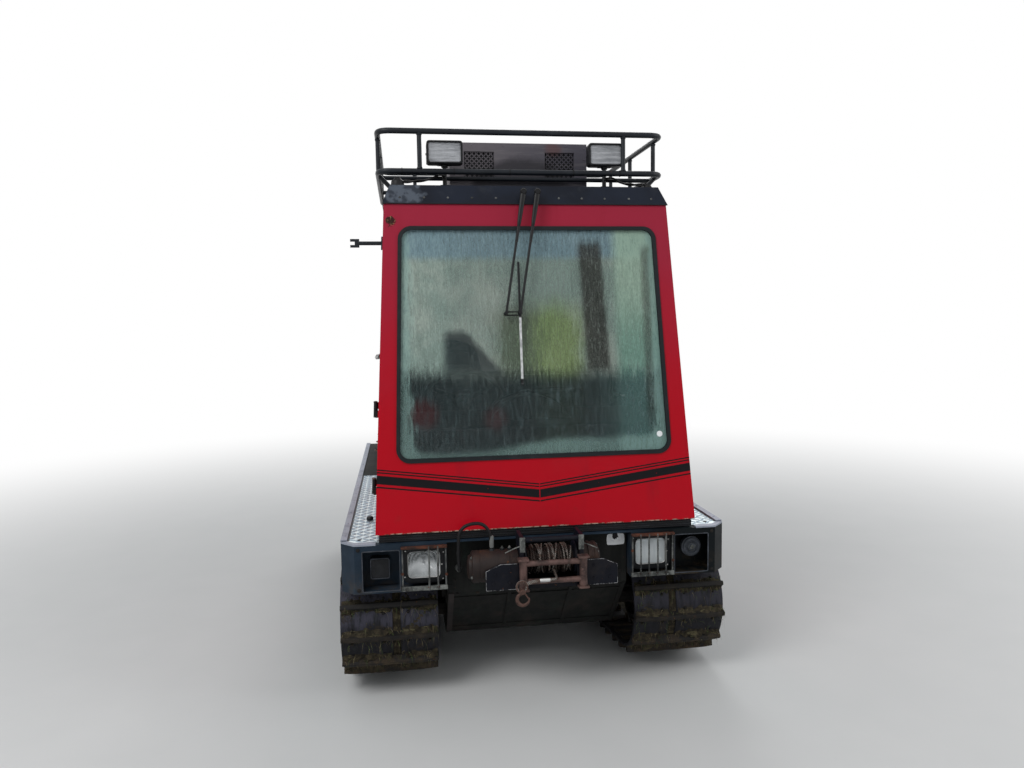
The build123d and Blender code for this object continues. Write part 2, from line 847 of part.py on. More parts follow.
def make_grille(x):
    """Expanded-metal sheet of crossed strips behind one opening."""
    reach = grille_width + grille_height
    sheet = Rectangle(grille_width + 2 * grille_border, grille_height + 2 * grille_border)
    lattice = Sketch()
    count = int(reach / grille_pitch) + 1
    for i in range(-count // 2, count // 2 + 1):
        for turn in (-45, 45):
            lattice += Rot(0, 0, turn) * Pos(0, i * grille_pitch) * Rectangle(reach, grille_strip)
    border = sheet - Rectangle(grille_width - 4, grille_height - 4)
    face = (lattice & sheet) + border
    place = Plane(origin=(x, box_front + box_sheet, grille_z), x_dir=(1, 0, 0), z_dir=(0, 1, 0))
    return extrude(place * face, amount=grille_thick)


def make_rack():
    """Tube basket: two rounded loops joined by posts, on feet at the roof's edges."""
    middle = (rack_front + rack_rear) / 2
    loops = []
    for z in (rack_low_z, rack_top_z):
        outline = Rectangle(2 * rack_half, rack_rear - rack_front)
        outline = fillet(outline.vertices(), rack_corner)
        path = (Pos(0, middle, z) * outline).wire()
        start = Plane(origin=path @ 0, z_dir=path % 0)
        loops.append(sweep(start * RegularPolygon(tube_radius, 8), path=path))
    side_posts = (rack_front + 2 * rack_corner, middle, rack_rear - 2 * rack_corner)
    posts = [(x, y) for x in (-rack_post_x, rack_post_x) for y in (rack_front, rack_rear)]
    posts += [(x, y) for x in (-rack_half, rack_half) for y in side_posts]
    tubes = [thin_bar((x, y, rack_low_z), (x, y, rack_top_z), thin_tube_radius) for x, y in posts]
    box_rear = box_front + box_length
    for y in (box_front - 8 - tube_radius, box_rear + 8 + tube_radius, rack_rear - 120):
        tubes.append(thin_bar((-rack_half, y, rack_low_z), (rack_half, y, rack_low_z),
                              thin_tube_radius))
    foot_x = roof_half_top - 12
    for side in (-1, 1):
        for y in (rack_front + rack_foot_inset, rack_rear - rack_foot_inset):
            tubes.append(thin_bar((side * rack_half, y, rack_low_z),
                                  (side * foot_x, y, roof_top_z + rack_foot_thick / 2),
                                  thin_tube_radius))
            x0, x1 = sorted((side * (foot_x - rack_foot + 8), side * (foot_x + 8)))
            tubes.append(block(x0, x1, y - rack_foot, y + rack_foot, roof_top_z,
                               roof_top_z + rack_foot_thick))
    return loops[0].fuse(loops[1], *tubes)


def make_work_lamp(x):
    """Work lamp body on its stem, with the lens as a second piece."""
    front = work_lamp_y - work_lamp_depth / 2
    back = work_lamp_y + work_lamp_depth / 2
    inner_w = work_lamp_width - 2 * work_lamp_rim
    inner_h = work_lamp_height - 2 * work_lamp_rim
    low = work_lamp_z - work_lamp_height / 2
    body = pillow(x, work_lamp_z, work_lamp_width, work_lamp_height, front, back, 14)
    body -= pillow(x, work_lamp_z, inner_w, inner_h, front - 1, back - work_lamp_rim, 10)
    stem = rod((x, work_lamp_y, roof_top_z), (x, work_lamp_y, low + work_lamp_rim / 2), stem_radius)
    half = stem_foot / 2
    foot = block(x - half, x + half, work_lamp_y - half, work_lamp_y + half, roof_top_z,
                 roof_top_z + stem_foot_height)
    lens = pillow(x, work_lamp_z, inner_w, inner_h, front + 3, front + 8, 10)
    return body + stem + foot, lens


# Wiper: two parallel arms and a link that keeps the blade upright

def screen_point(x, z, out):
    """Point in front of the leaning front by out, measured square to it."""
    tilt = atan2(front_lean, 1)
    return Vector(x, cab_front_at(z) - out * cos(tilt), z + out * sin(tilt))


def make_wiper():
    """Drive arm, follower arm and the blade on its link, and the two spindles of the arms."""
    tilt = atan2(front_lean, 1)
    up = Vector(0, sin(tilt), cos(tilt))
    out = Vector(0, -cos(tilt), sin(tilt))
    drop = (wiper_arm_length ** 2 - wiper_lean_x ** 2) ** 0.5
    arms = []
    tips = []
    spindles = []
    for x in wiper_x:
        pivot = screen_point(x, wiper_z, wiper_standoff)
        tip = pivot + Vector(wiper_lean_x, 0, 0) - up * drop
        arm = thin_bar(pivot, tip, wiper_bar)
        arm += rod(pivot - out * 8, pivot + out * 12, wiper_hub)
        arm += rod(tip - out * 7, tip + out * 7, wiper_bar + 2)
        arms.append(arm)
        tips.append(tip)
        spindles.append(rod(screen_point(x, wiper_z, -12), pivot - out * 8.5, wiper_bar + 2))
    save("wiper_arm_drive", arms[1])
    save("wiper_arm_follower", arms[0])
    link = thin_bar(tips[0] - out * link_drop, tips[1] - out * link_drop, wiper_bar - 1)
    blade = thin_bar(tips[1] + up * blade_above - out * link_drop,
                     tips[1] - up * blade_below - out * link_drop, wiper_bar)
    pins = [thin_bar(tip - out * (link_drop + wiper_bar), tip - out * 7.5, wiper_bar) for tip in tips]
    save("wiper_blade", link.fuse(blade, *pins))
    return spindles


# Winch

def along_winch(x0, x1, radius, z=winch_z):
    """Round form on the winch's axis, or at another height, between two places across the nose."""
    return rod((x0, winch_y, z), (x1, winch_y, z), radius)


def make_winch():
    """Winch frame, wound drum and motor with its gear case."""
    half = drum_length / 2
    left = winch_x - half - end_plate_thick
    right = winch_x + half + end_plate_thick
    base_z = winch_z - flange_radius - winch_base_drop
    plate_back = winch_plate_y + winch_plate_thick
    frame = block(left - 60, right + 60, plate_back, tub_front_y, base_z - winch_base_thick, base_z)
    for x in (left, right - end_plate_thick):
        frame += block(x, x + end_plate_thick, plate_back, y_nose - 1, base_z, end_plate_top)
    frame -= along_winch(left - 1, right + 1, drum_shaft_radius + shaft_clearance)
    tie_y = plate_back + 16
    tie_z = end_plate_top - 16
    frame += rod((left + 1, tie_y, tie_z), (right - 1, tie_y, tie_z), tie_rod_radius)
    low = winch_plate_low
    wide = winch_plate_half
    narrow = wide - winch_plate_chamfer
    plate = front_prism([(winch_x - wide, low), (winch_x + wide, low),
                         (winch_x + wide, winch_plate_shoulder), (winch_x + narrow, winch_plate_high),
                         (winch_x - narrow, winch_plate_high), (winch_x - wide, winch_plate_shoulder)],
                        winch_plate_y, plate_back)
    plate -= block(winch_x - 100, winch_x + 100, winch_plate_y - 1, plate_back + 1, low + 20,
                   winch_plate_high + 18)
    save("winch_frame", frame.fuse(plate))

    start = winch_x - half + flange_gap
    end = winch_x + half - flange_gap
    drum = along_winch(start, end, rope_radius)
    for x in (start, end - flange_thick):
        drum += along_winch(x, x + flange_thick, flange_radius)
    drum += along_winch(left + 2, right - 2, drum_shaft_radius)
    save("winch_drum", drum)

    motor_z = winch_z - motor_drop
    motor = along_winch(left - motor_length, left, motor_radius, motor_z)
    motor += along_winch(left - motor_length - motor_cap, left - motor_length,
                         motor_radius - 14, motor_z)
    top = motor_z + motor_radius
    cable_end = Vector(left - 105, winch_y, top + 6)
    motor += rod(cable_end - Vector(0, 0, 16), cable_end, cable_thick / 2 + 4)
    gear = along_winch(right, right + gear_length, gear_radius)
    save("winch_motor", motor, gear)
    save("winch_cable", make_cable(cable_end))


def make_cable(end):
    """Stiff battery cable: out of the hull's front, up beside the motor and over into its top."""
    x = end.X - 128
    points = [(x, tub_front_y, winch_z - 52), (x, winch_y + 6, winch_z - 52),
              (x - 7, winch_y - 6, winch_z + 50), (x, winch_y - 6, winch_z + 156),
              (end.X, winch_y - 2, winch_z + 160), tuple(end)]
    runs = [(Vector(*b) - Vector(*a)) for a, b in zip(points, points[1:])]
    radii = []
    for before, after in zip(runs, runs[1:]):
        half_turn = before.get_angle(after) / 2 * pi / 180
        radii.append(0.45 * min(before.length, after.length) / tan(half_turn))
    print("cable radii", [round(r) for r in radii], "length", round(sum(r.length for r in runs)))
    path = FilletPolyline(*points, radius=radii)
    start = Plane(origin=path @ 0, z_dir=path % 0)
    return sweep(start * RegularPolygon(cable_thick / 2, 8), path=path)


def make_fairlead():
    """Roller fairlead: two upright and two level rollers between brackets, rusted fast."""
    roller_y = winch_plate_y - roller_radius - 3
    pieces = []
    for x in (winch_x - roller_spacing, winch_x + roller_spacing):
        pieces.append(rod((x, roller_y, fairlead_low + 6), (x, roller_y, fairlead_high - 6),
                          roller_radius))
        for z in (fairlead_low, fairlead_high - fairlead_end):
            pieces.append(block(x - roller_radius - 5, x + roller_radius + 5,
                                roller_y - roller_radius - 4, winch_plate_y, z, z + fairlead_end))
    for z in guide_roller_z:
        pieces.append(rod((winch_x - roller_spacing + 4, roller_y, z),
                          (winch_x + roller_spacing - 4, roller_y, z), guide_roller_radius))
    save("fairlead", pieces[0].fuse(*pieces[1:]))


def flat_form(sketch, y, thick):
    """Front-view sketch, centred on its own origin, made a plate of some thickness about y."""
    return extrude(Plane.XZ.offset(-y + thick / 2) * sketch, amount=thick, dir=(0, 1, 0))


def make_hook():
    """Rope end over the lower roller, with its ferrule, thimble and forged hook."""
    front = y_nose - winch_reach + hook_bar
    rope_z = guide_roller_z[0] + guide_roller_radius + rope_thick / 2 + seat_gap
    eye_x = winch_x - 132
    eye_z = rope_z - 22
    hook_z = rope_z - 72
    ferrule_start = winch_x - 60
    ferrule_end = winch_x - 20
    eye = Circle(hook_eye + 6) - Circle(hook_eye - 6)
    bowl = Circle(hook_bowl + hook_bar) - Circle(hook_bowl - hook_bar)
    bowl -= Pos(hook_bowl, hook_bowl * 0.75) * Rectangle(2 * hook_bowl, hook_bowl)
    shank = Pos(-2, hook_bowl + 6) * Rectangle(18, 26)
    drum_front = winch_y - rope_radius - 8
    rope_x = winch_x + 10
    roller_front = winch_plate_y - 10
    half = rope_thick / 2
    pieces = [thin_bar((ferrule_start, front, rope_z), (ferrule_end, front, rope_z), hook_bar),
              thin_bar((eye_x + 12, front, rope_z - 6), (ferrule_start, front, rope_z), half),
              Pos(eye_x, 0, eye_z) * flat_form(eye, front, 12),
              Pos(eye_x + 4, 0, hook_z) * flat_form(bowl + shank, front, 2 * hook_bar - 2),
              thin_bar((ferrule_end - 4, front, rope_z), (rope_x, roller_front + 2, rope_z), half),
              thin_bar((rope_x, roller_front, rope_z), (rope_x, drum_front, rope_z + 12), half)]
    save("winch_hook", pieces[0].fuse(*pieces[1:]))


def make_mirror_bracket():
    """Bare forked mirror arm on the cab's right front corner."""
    x0 = cab_half_at(mirror_z)
    pad = cab_wedge(0, -6, 0) - cab_wedge(-50, 0, -50, cab_red_z - 1, cab_top_z + 1)
    pad &= block(0, 2 * cab_half_low, mirror_y - 14, mirror_y + 14, mirror_z - 26, mirror_z + 26)
    x1 = x0 + mirror_arm
    x2 = x1 + mirror_fork
    half = mirror_fork_gap / 2
    arm = rod((x0 + 3, mirror_y, mirror_z), (x1, mirror_y, mirror_z), 8)
    fork = block(x1 - 6, x1 + 12, mirror_y - 6, mirror_y + 6, mirror_z - half - 10, mirror_z + half + 10)
    for z in (mirror_z - half - 10, mirror_z + half):
        fork += block(x1 + 12, x2, mirror_y - 6, mirror_y + 6, z, z + 10)
    return mirrored(arm + pad + fork)


# Cab interior

def make_seat(x, back_height):
    """Padded seat: cushion and backrest in one closed form."""
    half = seat_width / 2
    low = seat_top_z - seat_pad
    rear = seat_front + seat_length
    back_top = seat_top_z + back_height
    points = [(seat_front, low), (rear + 60, low), (rear + 150, back_top - 20), (rear + 110, back_top),
              (rear + 60, back_top - 10), (rear - 30, seat_top_z + 10), (seat_front + 20, seat_top_z),
              (seat_front, seat_top_z - 30)]
    return side_prism(points, x - half, x + half)


def make_interior():
    """Seats on their boxes, dashboard with hood and column, and steering wheel."""
    floor = cab_base_z + cab_floor
    save("driver_seat", make_seat(-seat_x, driver_back))
    save("passenger_seat", make_seat(seat_x, passenger_back))
    base = floor + 250
    dash = side_prism([(y_nose + 90, base), (y_nose + 330, base + 60), (y_nose + 380, base + 170),
                       (y_nose + 330, base + 230), (y_nose + 110, base + 180)],
                      -dash_half, dash_half, 12)
    legs = []
    for x in (-dash_half, dash_half - dash_leg):
        legs.append(block(x, x + dash_leg, y_nose + 120, y_nose + 200, floor, base + 30))
    hood_radius = 195
    hood_z = base + 106
    hood = rod((0, y_nose + 190, hood_z), (0, y_nose + 330, hood_z), hood_radius)
    hood &= block(-hood_radius, hood_radius, y_nose + 100, y_nose + 400, hood_z + 60,
                  hood_z + hood_radius)
    column_start = Vector(-seat_x, y_nose + 350, base + 170)
    column_end = Vector(-seat_x, y_nose + 450, base + 240)
    direction = (column_end - column_start).normalized()
    column = rod(column_start - (column_end - column_start) * 0.6, column_end, column_radius)
    save("dashboard", dash.fuse(*legs, hood, column))
    start = column_end + direction * seat_gap
    ring_centre = start + direction * wheel_hub_radius
    tilt = Plane(origin=ring_centre, x_dir=(1, 0, 0), z_dir=direction)
    section = Plane.XZ * Pos(wheel_ring_radius, 0) * RegularPolygon(wheel_tube, 8)
    wheel = tilt * revolve(section, Axis.Z)
    wheel += rod(start, ring_centre + direction * 14, wheel_hub_radius)
    for turn in (90, 210, 330):
        spoke = Rot(0, 0, turn) * Pos(wheel_ring_radius / 2, 0, 0)
        wheel += tilt * (spoke * Box(wheel_ring_radius - 6, 24, 6))
    save("steering_wheel", wheel)


# Load bed

def make_bed():
    """Tray behind the cab: floor, two sides and a headboard."""
    rear = y_tail - bed_wall
    bed = block(-bed_half, bed_half, bed_front, rear, deck_z, bed_side_top_z)
    bed -= block(-bed_half + bed_wall, bed_half - bed_wall, bed_front + bed_wall, rear + 1,
                 deck_z + bed_floor, bed_side_top_z + 1)
    return bed


def gate_axis_z():
    """Height of the tailgate's hinge axis."""
    return deck_z + gate_hinge_radius + 2


def make_tailgate():
    """Drop-down gate across the rear of the bed, on its hinge barrels."""
    y0 = y_tail - bed_wall + seat_gap
    y1 = y_tail - gate_hinge_radius + bed_floor
    low = gate_axis_z() + gate_hinge_radius + 6
    gate = block(-bed_half + 4, bed_half - 4, y0, y1, low, bed_side_top_z)
    gate -= block(-bed_half + gate_frame, bed_half - gate_frame, y0 - 1, y1 - bed_floor,
                  low + gate_rib, bed_side_top_z - gate_rib)
    axis_y = y_tail - gate_hinge_radius
    for x in gate_hinge_x:
        start = x + knuckle_gap / 2
        gate += block(start, x + gate_knuckle, axis_y, y1, gate_axis_z(), low + 4)
        gate += rod((start, axis_y, gate_axis_z()), (x + gate_knuckle, axis_y, gate_axis_z()),
                    gate_hinge_radius)
    return gate


def make_gate_hinges():
    """Fixed barrels of the tailgate's hinges, under the bed's rear edge."""
    parts = []
    axis_y = y_tail - gate_hinge_radius
    for x in gate_hinge_x:
        end = x - knuckle_gap / 2
        barrel = rod((x - gate_knuckle, axis_y, gate_axis_z()), (end, axis_y, gate_axis_z()),
                     gate_hinge_radius)
        barrel += block(x - gate_knuckle, end, y_tail - bed_wall, axis_y, gate_axis_z() - 8,
                        gate_axis_z() + 4)
        parts.append(barrel)
    return parts


def make_jaw():
    """Tow jaw at the rear: two ears with a pin hole, on a plate."""
    pin_y = y_tail + jaw_reach - jaw_ear_radius
    jaw = block(-jaw_half, jaw_half, tub_rear_y, tub_rear_y + jaw_plate, jaw_z - jaw_half,
                jaw_z + jaw_half)
    for low in (jaw_z - jaw_ear_gap / 2 - jaw_ear_thick, jaw_z + jaw_ear_gap / 2):
        high = low + jaw_ear_thick
        ear = block(-jaw_ear_radius, jaw_ear_radius, tub_rear_y + jaw_plate, pin_y, low, high)
        ear += rod((0, pin_y, low), (0, pin_y, high), jaw_ear_radius)
        ear -= rod((0, pin_y, low - 1), (0, pin_y, high + 1), jaw_pin_radius)
        jaw += ear
    return jaw


def make_tail_lamps():
    """Round lamps on the back of the last deck brackets."""
    y = last_bracket_y + bracket_width
    z = deck_z - deck_plate - bracket_height / 2
    return [rod((x, y, z), (x, y + tail_lamp_length, z), tail_lamp_radius)
            for x in (-tail_lamp_x, tail_lamp_x)]


def main():
    """Builds and writes every piece."""
    os.makedirs("parts", exist_ok=True)
    make_running_gear()
    brackets = make_brackets()
    save("hull_tub", make_tub().fuse(make_jaw(), *brackets, *[mirrored(s) for s in brackets]))
    save("engine_block", make_engine())
    for name, piece in (("side_decks", make_deck()), ("rear_fenders", make_fender()),
                        ("deck_rails", make_rail())):
        save(name, piece, mirrored(piece))
    save("front_bumper", make_bumper())
    lamps = [make_headlamp(-1), make_headlamp(1)]
    work = [make_work_lamp(x) for x in work_lamp_x]
    save("headlamps", *[lamp for lamp, _ in lamps])
    save("work_lamps", *[lamp for lamp, _ in work])
    save("lamp_lenses", *[lens for _, lens in lamps + work])
    save("headlamp_guards", *[make_guard(side, bars) for side, bars in guard_bars])
    save("horn", make_horn())
    make_cab()
    panel, gasket, glass = make_door()
    for name, shape in (("door", panel), ("door_gasket", gasket), ("door_glass", glass)):
        save(f"{name}_left", shape)
        save(f"{name}_right", mirrored(shape))
    make_glazing()
    save("roof", make_roof().fuse(*make_wiper()))
    save("roof_box", make_roof_box().fuse(*[make_grille(x) for x in grille_x]))
    save("roof_rack", make_rack())
    make_winch()
    make_fairlead()
    make_hook()
    save("mirror_bracket", make_mirror_bracket())
    make_interior()
    save("load_bed", make_bed().fuse(*make_gate_hinges()))
    save("tailgate", make_tailgate())
    save("tail_lamps", *make_tail_lamps())
    print(len(all_nodes), "nodes")


main()
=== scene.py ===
"""Looks for the tracked snow vehicle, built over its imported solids.

Metres, +Z up. The nose faces -Y and the vehicle's left side is +X.
"""

import math

import bmesh
import bpy
import numpy as np
from mathutils import Matrix


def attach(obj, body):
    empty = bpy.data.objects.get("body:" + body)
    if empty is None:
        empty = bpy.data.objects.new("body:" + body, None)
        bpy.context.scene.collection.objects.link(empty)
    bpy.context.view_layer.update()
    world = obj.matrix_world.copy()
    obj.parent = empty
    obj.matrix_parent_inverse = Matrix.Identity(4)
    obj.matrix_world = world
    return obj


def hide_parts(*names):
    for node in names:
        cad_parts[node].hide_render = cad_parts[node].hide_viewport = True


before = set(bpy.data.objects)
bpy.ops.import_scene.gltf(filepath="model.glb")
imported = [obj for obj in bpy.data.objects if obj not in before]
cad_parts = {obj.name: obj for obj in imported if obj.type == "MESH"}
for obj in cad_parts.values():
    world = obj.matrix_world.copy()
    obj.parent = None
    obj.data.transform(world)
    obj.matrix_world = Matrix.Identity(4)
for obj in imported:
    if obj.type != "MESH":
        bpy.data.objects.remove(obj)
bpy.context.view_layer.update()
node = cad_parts
bpy.context.scene.view_settings.view_transform = "Standard"
TURN = 2 * math.pi
X, Y, Z = np.eye(3)  # directions: across, back and up

# Places and sizes taken from the part, in metres
CAB_LOW, CAB_FRONT, CAB_REAR, CAB_HALF = 0.726, -1.23, 0.147, 0.665
SIDE_LEAN, FRONT_LEAN = 0.066 / 1.328, 0.182 / 1.328
LAMP_X, LAMP_Z, RECESS_X, RECESS_Z = 0.475, 0.588, 0.646, 0.582
WORK_LAMPS_X, WORK_LAMP_Z = (-0.336, 0.377), 2.296
SEAT_X, HANDLE_Z = 0.27, 1.392
WINCH_X, WINCH_Y, WINCH_Z = 0.025, -1.286, 0.612
TRACK_MID, BAR_PITCH = 0.62, 0.118
# Sprocket, first and last road wheel and idler: y, z and radius
PULLEYS = np.array([(-0.94, 0.312, 0.216), (-0.6, 0.194, 0.148), (0.72, 0.194, 0.148), (1.05, 0.272, 0.176)])


# Camera, floor and lights

def aim_camera(place, yaw, pitch, roll, lens):
    """Camera at the photograph's viewing angle: yaw about up, then pitch, then roll."""
    ahead = np.array([math.sin(yaw) * math.cos(pitch), math.cos(yaw) * math.cos(pitch), math.sin(pitch)])
    level = np.array([math.cos(yaw), -math.sin(yaw), 0.0])
    upright = np.cross(level, ahead)
    right = math.cos(roll) * level + math.sin(roll) * upright
    top = math.cos(roll) * upright - math.sin(roll) * level
    data = bpy.data.cameras.new("camera")
    data.lens = lens
    data.sensor_width = 36
    camera = place_object("camera", data)
    turn = np.eye(4)
    turn[:3, :3] = np.stack([right, top, -ahead], 1)
    turn[:3, 3] = place
    camera.matrix_world = Matrix(turn.tolist())
    bpy.context.scene.camera = camera


# Shader sums

class Wire:
    """One output socket of a finish. Sums on it add Math nodes, so a mask reads as an expression."""

    def __init__(self, tree, socket):
        self.tree, self.socket = tree, socket

    def sum(self, operation, *terms):
        """One arithmetic node over the terms, in their order."""
        return self.tree.add("ShaderNodeMath", {"operation": operation}, dict(enumerate(terms)))

    def __add__(self, other):
        return self.sum("ADD", self, other)

    def __radd__(self, other):
        return self.sum("ADD", other, self)

    def __sub__(self, other):
        return self.sum("SUBTRACT", self, other)

    def __rsub__(self, other):
        return self.sum("SUBTRACT", other, self)

    def __mul__(self, other):
        return self.sum("MULTIPLY", self, other)

    def __rmul__(self, other):
        return self.sum("MULTIPLY", other, self)

    def __abs__(self):
        return self.sum("ABSOLUTE", self)

    def least(self, other):
        """The smaller of the two values."""
        return self.sum("MINIMUM", self, other)

    def most(self, other):
        """The larger of the two values."""
        return self.sum("MAXIMUM", self, other)

    def wave(self):
        """Ripple of 0 to 1: half the sine and a half."""
        return self.sum("SINE", self) * 0.5 + 0.5


class Tree:
    """Shader nodes of a material or of the world."""

    def __init__(self, tree):
        self.tree = tree

    def feed(self, socket, value):
        """Sets a socket to a value, or links it to a wire."""
        if isinstance(value, Wire):
            self.tree.links.new(value.socket, socket)
        elif isinstance(value, (tuple, list)):
            size = len(socket.default_value)
            socket.default_value = (tuple(value) + (1.0,))[:size]
        else:
            socket.default_value = value

    def add(self, kind, settings, sockets, out=0):
        """Adds a node: its settings first, then the values or links of its sockets."""
        made = self.tree.nodes.new(kind)
        for key, value in settings.items():
            setattr(made, key, value)
        for key, value in sockets.items():
            self.feed(made.inputs[key], value)
        return Wire(self, made.outputs[out]) if made.outputs else made

    def rays(self, *kinds):
        """1 for rays of any of these kinds, or else 0."""
        seen = [self.add("ShaderNodeLightPath", {}, {}, f"Is {kind} Ray") for kind in kinds]
        return seen[0].most(seen[1].most(seen[2]))


class Finish(Tree):
    """One material in the making, with the masks and patterns that it is mixed from."""

    made = {}

    def __init__(self, name):
        material = bpy.data.materials.new(name)
        material.use_nodes = True
        super().__init__(material.node_tree)
        self.shader = self.tree.nodes["Principled BSDF"]
        self.where = self.add("ShaderNodeTexCoord", {}, {}, "Object")
        split = self.add("ShaderNodeSeparateXYZ", {}, {0: self.where})
        self.x, self.y, self.z = (Wire(self, out) for out in split.socket.node.outputs)
        Finish.made[name] = material

    def noise(self, scale, detail=3.0, rough=0.55, stretch=(1, 1, 1), shift=(0, 0, 0)):
        """Cloudy pattern about 0.5. Stretch above 1 squeezes it along that direction."""
        spot = self.where
        if stretch != (1, 1, 1) or shift != (0, 0, 0):
            spot = self.add("ShaderNodeMapping", {},
                            {"Vector": self.where, "Location": shift, "Scale": stretch})
        return self.add("ShaderNodeTexNoise", {},
                        {"Vector": spot, "Scale": scale, "Detail": detail, "Roughness": rough})

    def rise(self, value, low, high):
        """Smooth step from 0 at low to 1 at high, also downwards."""
        return self.add("ShaderNodeMapRange", {"interpolation_type": "SMOOTHSTEP"},
                        {0: value, 1: low, 2: high})

    def spots(self, low, high, *pattern, **placed):
        """Noise cut to spots by a smooth step from low to high."""
        return self.rise(self.noise(*pattern, **placed), low, high)

    def ridge(self, value, middle, half, soft=0.001):
        """Mask of a band about a middle value."""
        return self.rise(abs(value - middle), half + soft, half - soft)

    def distance(self, point):
        """Distance in metres from a fixed point."""
        return self.add("ShaderNodeVectorMath", {"operation": "DISTANCE"}, {0: self.where, 1: point}, "Value")

    def near(self, point, far, close):
        """Mask of a round patch: 0 beyond the far radius and 1 within the close one."""
        return self.rise(self.distance(point), far, close)

    def tint(self, factor, under, over):
        """Colour over laid on colour under by a factor."""
        return self.add("ShaderNodeMix", {"data_type": "RGBA"}, {0: factor, 6: under, 7: over}, 2)

    def start(self, factor, under, over):
        """Begins the finish's own colour as a blend of two."""
        self.colour = self.tint(factor, under, over)

    def lay(self, factor, over):
        """Lays a colour on the finish's own one by a factor."""
        self.colour = self.tint(factor, self.colour, over)

    def relief(self, height, depth, strength=1.0):
        """Bump from a height pattern of 0 to 1 and its depth in metres."""
        return self.add("ShaderNodeBump", {}, {"Strength": strength, "Distance": depth, "Height": height})

    def done(self, roughness, metallic=0.0, normal=None, **rest):
        """Sets the shader's own sockets from values or links."""
        values = {"Base Color": self.colour, "Roughness": roughness, "Metallic": metallic,
                  "Specular IOR Level": 0.22}
        if normal is not None:
            values["Normal"] = normal
        values.update({key.replace("_", " ").title().replace("Ior", "IOR"): v for key, v in rest.items()})
        for key, value in values.items():
            self.feed(self.shader.inputs[key], value)


def place_object(name, data):
    """New object in the scene."""
    made = bpy.data.objects.new(name, data)
    bpy.context.scene.collection.objects.link(made)
    return made


def lay_floor():
    """Large pale floor that keeps the shadow and whitens with distance."""
    far = np.linspace(-30, 30, 9)
    verts, faces = patch(np.stack(np.meshgrid(far, far, [0.0], indexing="ij"), -1)[:, :, 0])
    mesh = bpy.data.meshes.new("floor")
    mesh.from_pydata(verts.tolist(), [], faces[0].tolist())
    paint = Finish("floor")
    paint.start(paint.noise(3.0, 4), (0.66, 0.665, 0.66), (0.71, 0.71, 0.705))
    paint.done(0.9)
    mesh.materials.append(Finish.made["floor"])
    away = paint.add("ShaderNodeVectorMath", {"operation": "LENGTH"}, {0: paint.where}, "Value")
    white = paint.add("ShaderNodeEmission", {}, {})
    dull = Wire(paint, paint.shader.outputs[0])
    far_off = paint.rise(away, 1.7, 7.5) * paint.rays("Camera", "Glossy", "Transmission")
    mixer = paint.add("ShaderNodeMixShader", {}, {0: far_off, 1: dull, 2: white})
    paint.feed(paint.tree.nodes["Material Output"].inputs[0], mixer)
    place_object("floor", mesh)


def light_studio():
    """Soft sky that looks white, and three round lamps aimed at the middle of the cab."""
    world = bpy.data.worlds.new("studio")
    world.use_nodes = True
    bpy.context.scene.world = world
    world.node_tree.nodes.clear()
    sky = Tree(world.node_tree)
    plain = sky.add("ShaderNodeBackground", {}, {"Color": (0.93, 0.97, 1.0), "Strength": 0.42})
    bright = sky.add("ShaderNodeBackground", {}, {"Color": (1.0, 1.0, 1.0), "Strength": 1.0})
    seen = sky.rays("Camera", "Transmission", "Glossy")
    sky.add("ShaderNodeOutputWorld", {},
            {0: sky.add("ShaderNodeMixShader", {}, {0: seen, 1: plain, 2: bright})})
    for name, place, size, power in (("key", (-3.6, -4.2, 5.2), 3.2, 170.0),
                                     ("fill", (4.6, -3.0, 3.4), 3.0, 60.0),
                                     ("back", (1.5, 4.6, 4.8), 3.2, 90.0)):
        lamp = bpy.data.lights.new(name, "AREA")
        lamp.shape = "DISK"
        lamp.size = size
        lamp.energy = power
        holder = place_object(name, lamp)
        holder.location = place
        aim = np.array([0, 0, 0.9]) - np.array(place)
        holder.rotation_euler = (math.atan2(math.hypot(aim[0], aim[1]), -aim[2]), 0,
                                 math.atan2(aim[1], aim[0]) - math.pi / 2)


# Shapes as whole arrays

def mm(*values, width=2):
    """Rows of two numbers, or of another width, written in millimetres."""
    return np.array(values).reshape(-1, width) / 1000


def unit(v):
    """Each vector divided by its length."""
    v = np.asarray(v, float)
    return v / np.maximum(np.linalg.norm(v, axis=-1, keepdims=True), 1e-12)


def patch(points, wrap_u=False, wrap_v=False, ends=False):
    """Points on a grid (rows, columns, 3) with one quad between each four neighbours."""
    rows, cols = points.shape[:2]
    index = np.arange(rows * cols).reshape(rows, cols)
    caps = np.stack([index[0][::-1], index[-1]])
    if wrap_u:
        index = np.vstack([index, index[:1]])
    if wrap_v:
        index = np.hstack([index, index[:, :1]])
    quads = np.stack([index[:-1, :-1], index[:-1, 1:], index[1:, 1:], index[1:, :-1]], -1).reshape(-1, 4)
    return points.reshape(-1, 3), [quads, caps] if ends else [quads]


def copies(shape, places):
    """The same shape at each place: every vertex plus every place."""
    verts, faces = shape
    places = np.asarray(places, float).reshape(-1, 3)
    shift = np.arange(len(places))[:, None, None] * len(verts)
    return ((verts[None] + places[:, None]).reshape(-1, 3),
            [(f[None] + shift).reshape(-1, f.shape[1]) for f in faces])


def carried(shape, origins, right, ahead, up):
    """The shape in many local frames: origin + x right + y ahead + z up."""
    verts, faces = shape
    count = len(origins)
    frames = np.stack([np.broadcast_to(np.asarray(v, float), (count, 3)) for v in (right, ahead, up)], 1)
    placed = np.einsum("vk,nkc->nvc", verts, frames) + np.asarray(origins, float)[:, None]
    shift = np.arange(count)[:, None, None] * len(verts)
    return placed.reshape(-1, 3), [(f[None] + shift).reshape(-1, f.shape[1]) for f in faces]


def flipped(shape):
    """The same shape on the vehicle's other side."""
    return shape[0] * (-1, 1, 1), shape[1]


def both(shape):
    """The shape and its mirror image."""
    return [shape, flipped(shape)]


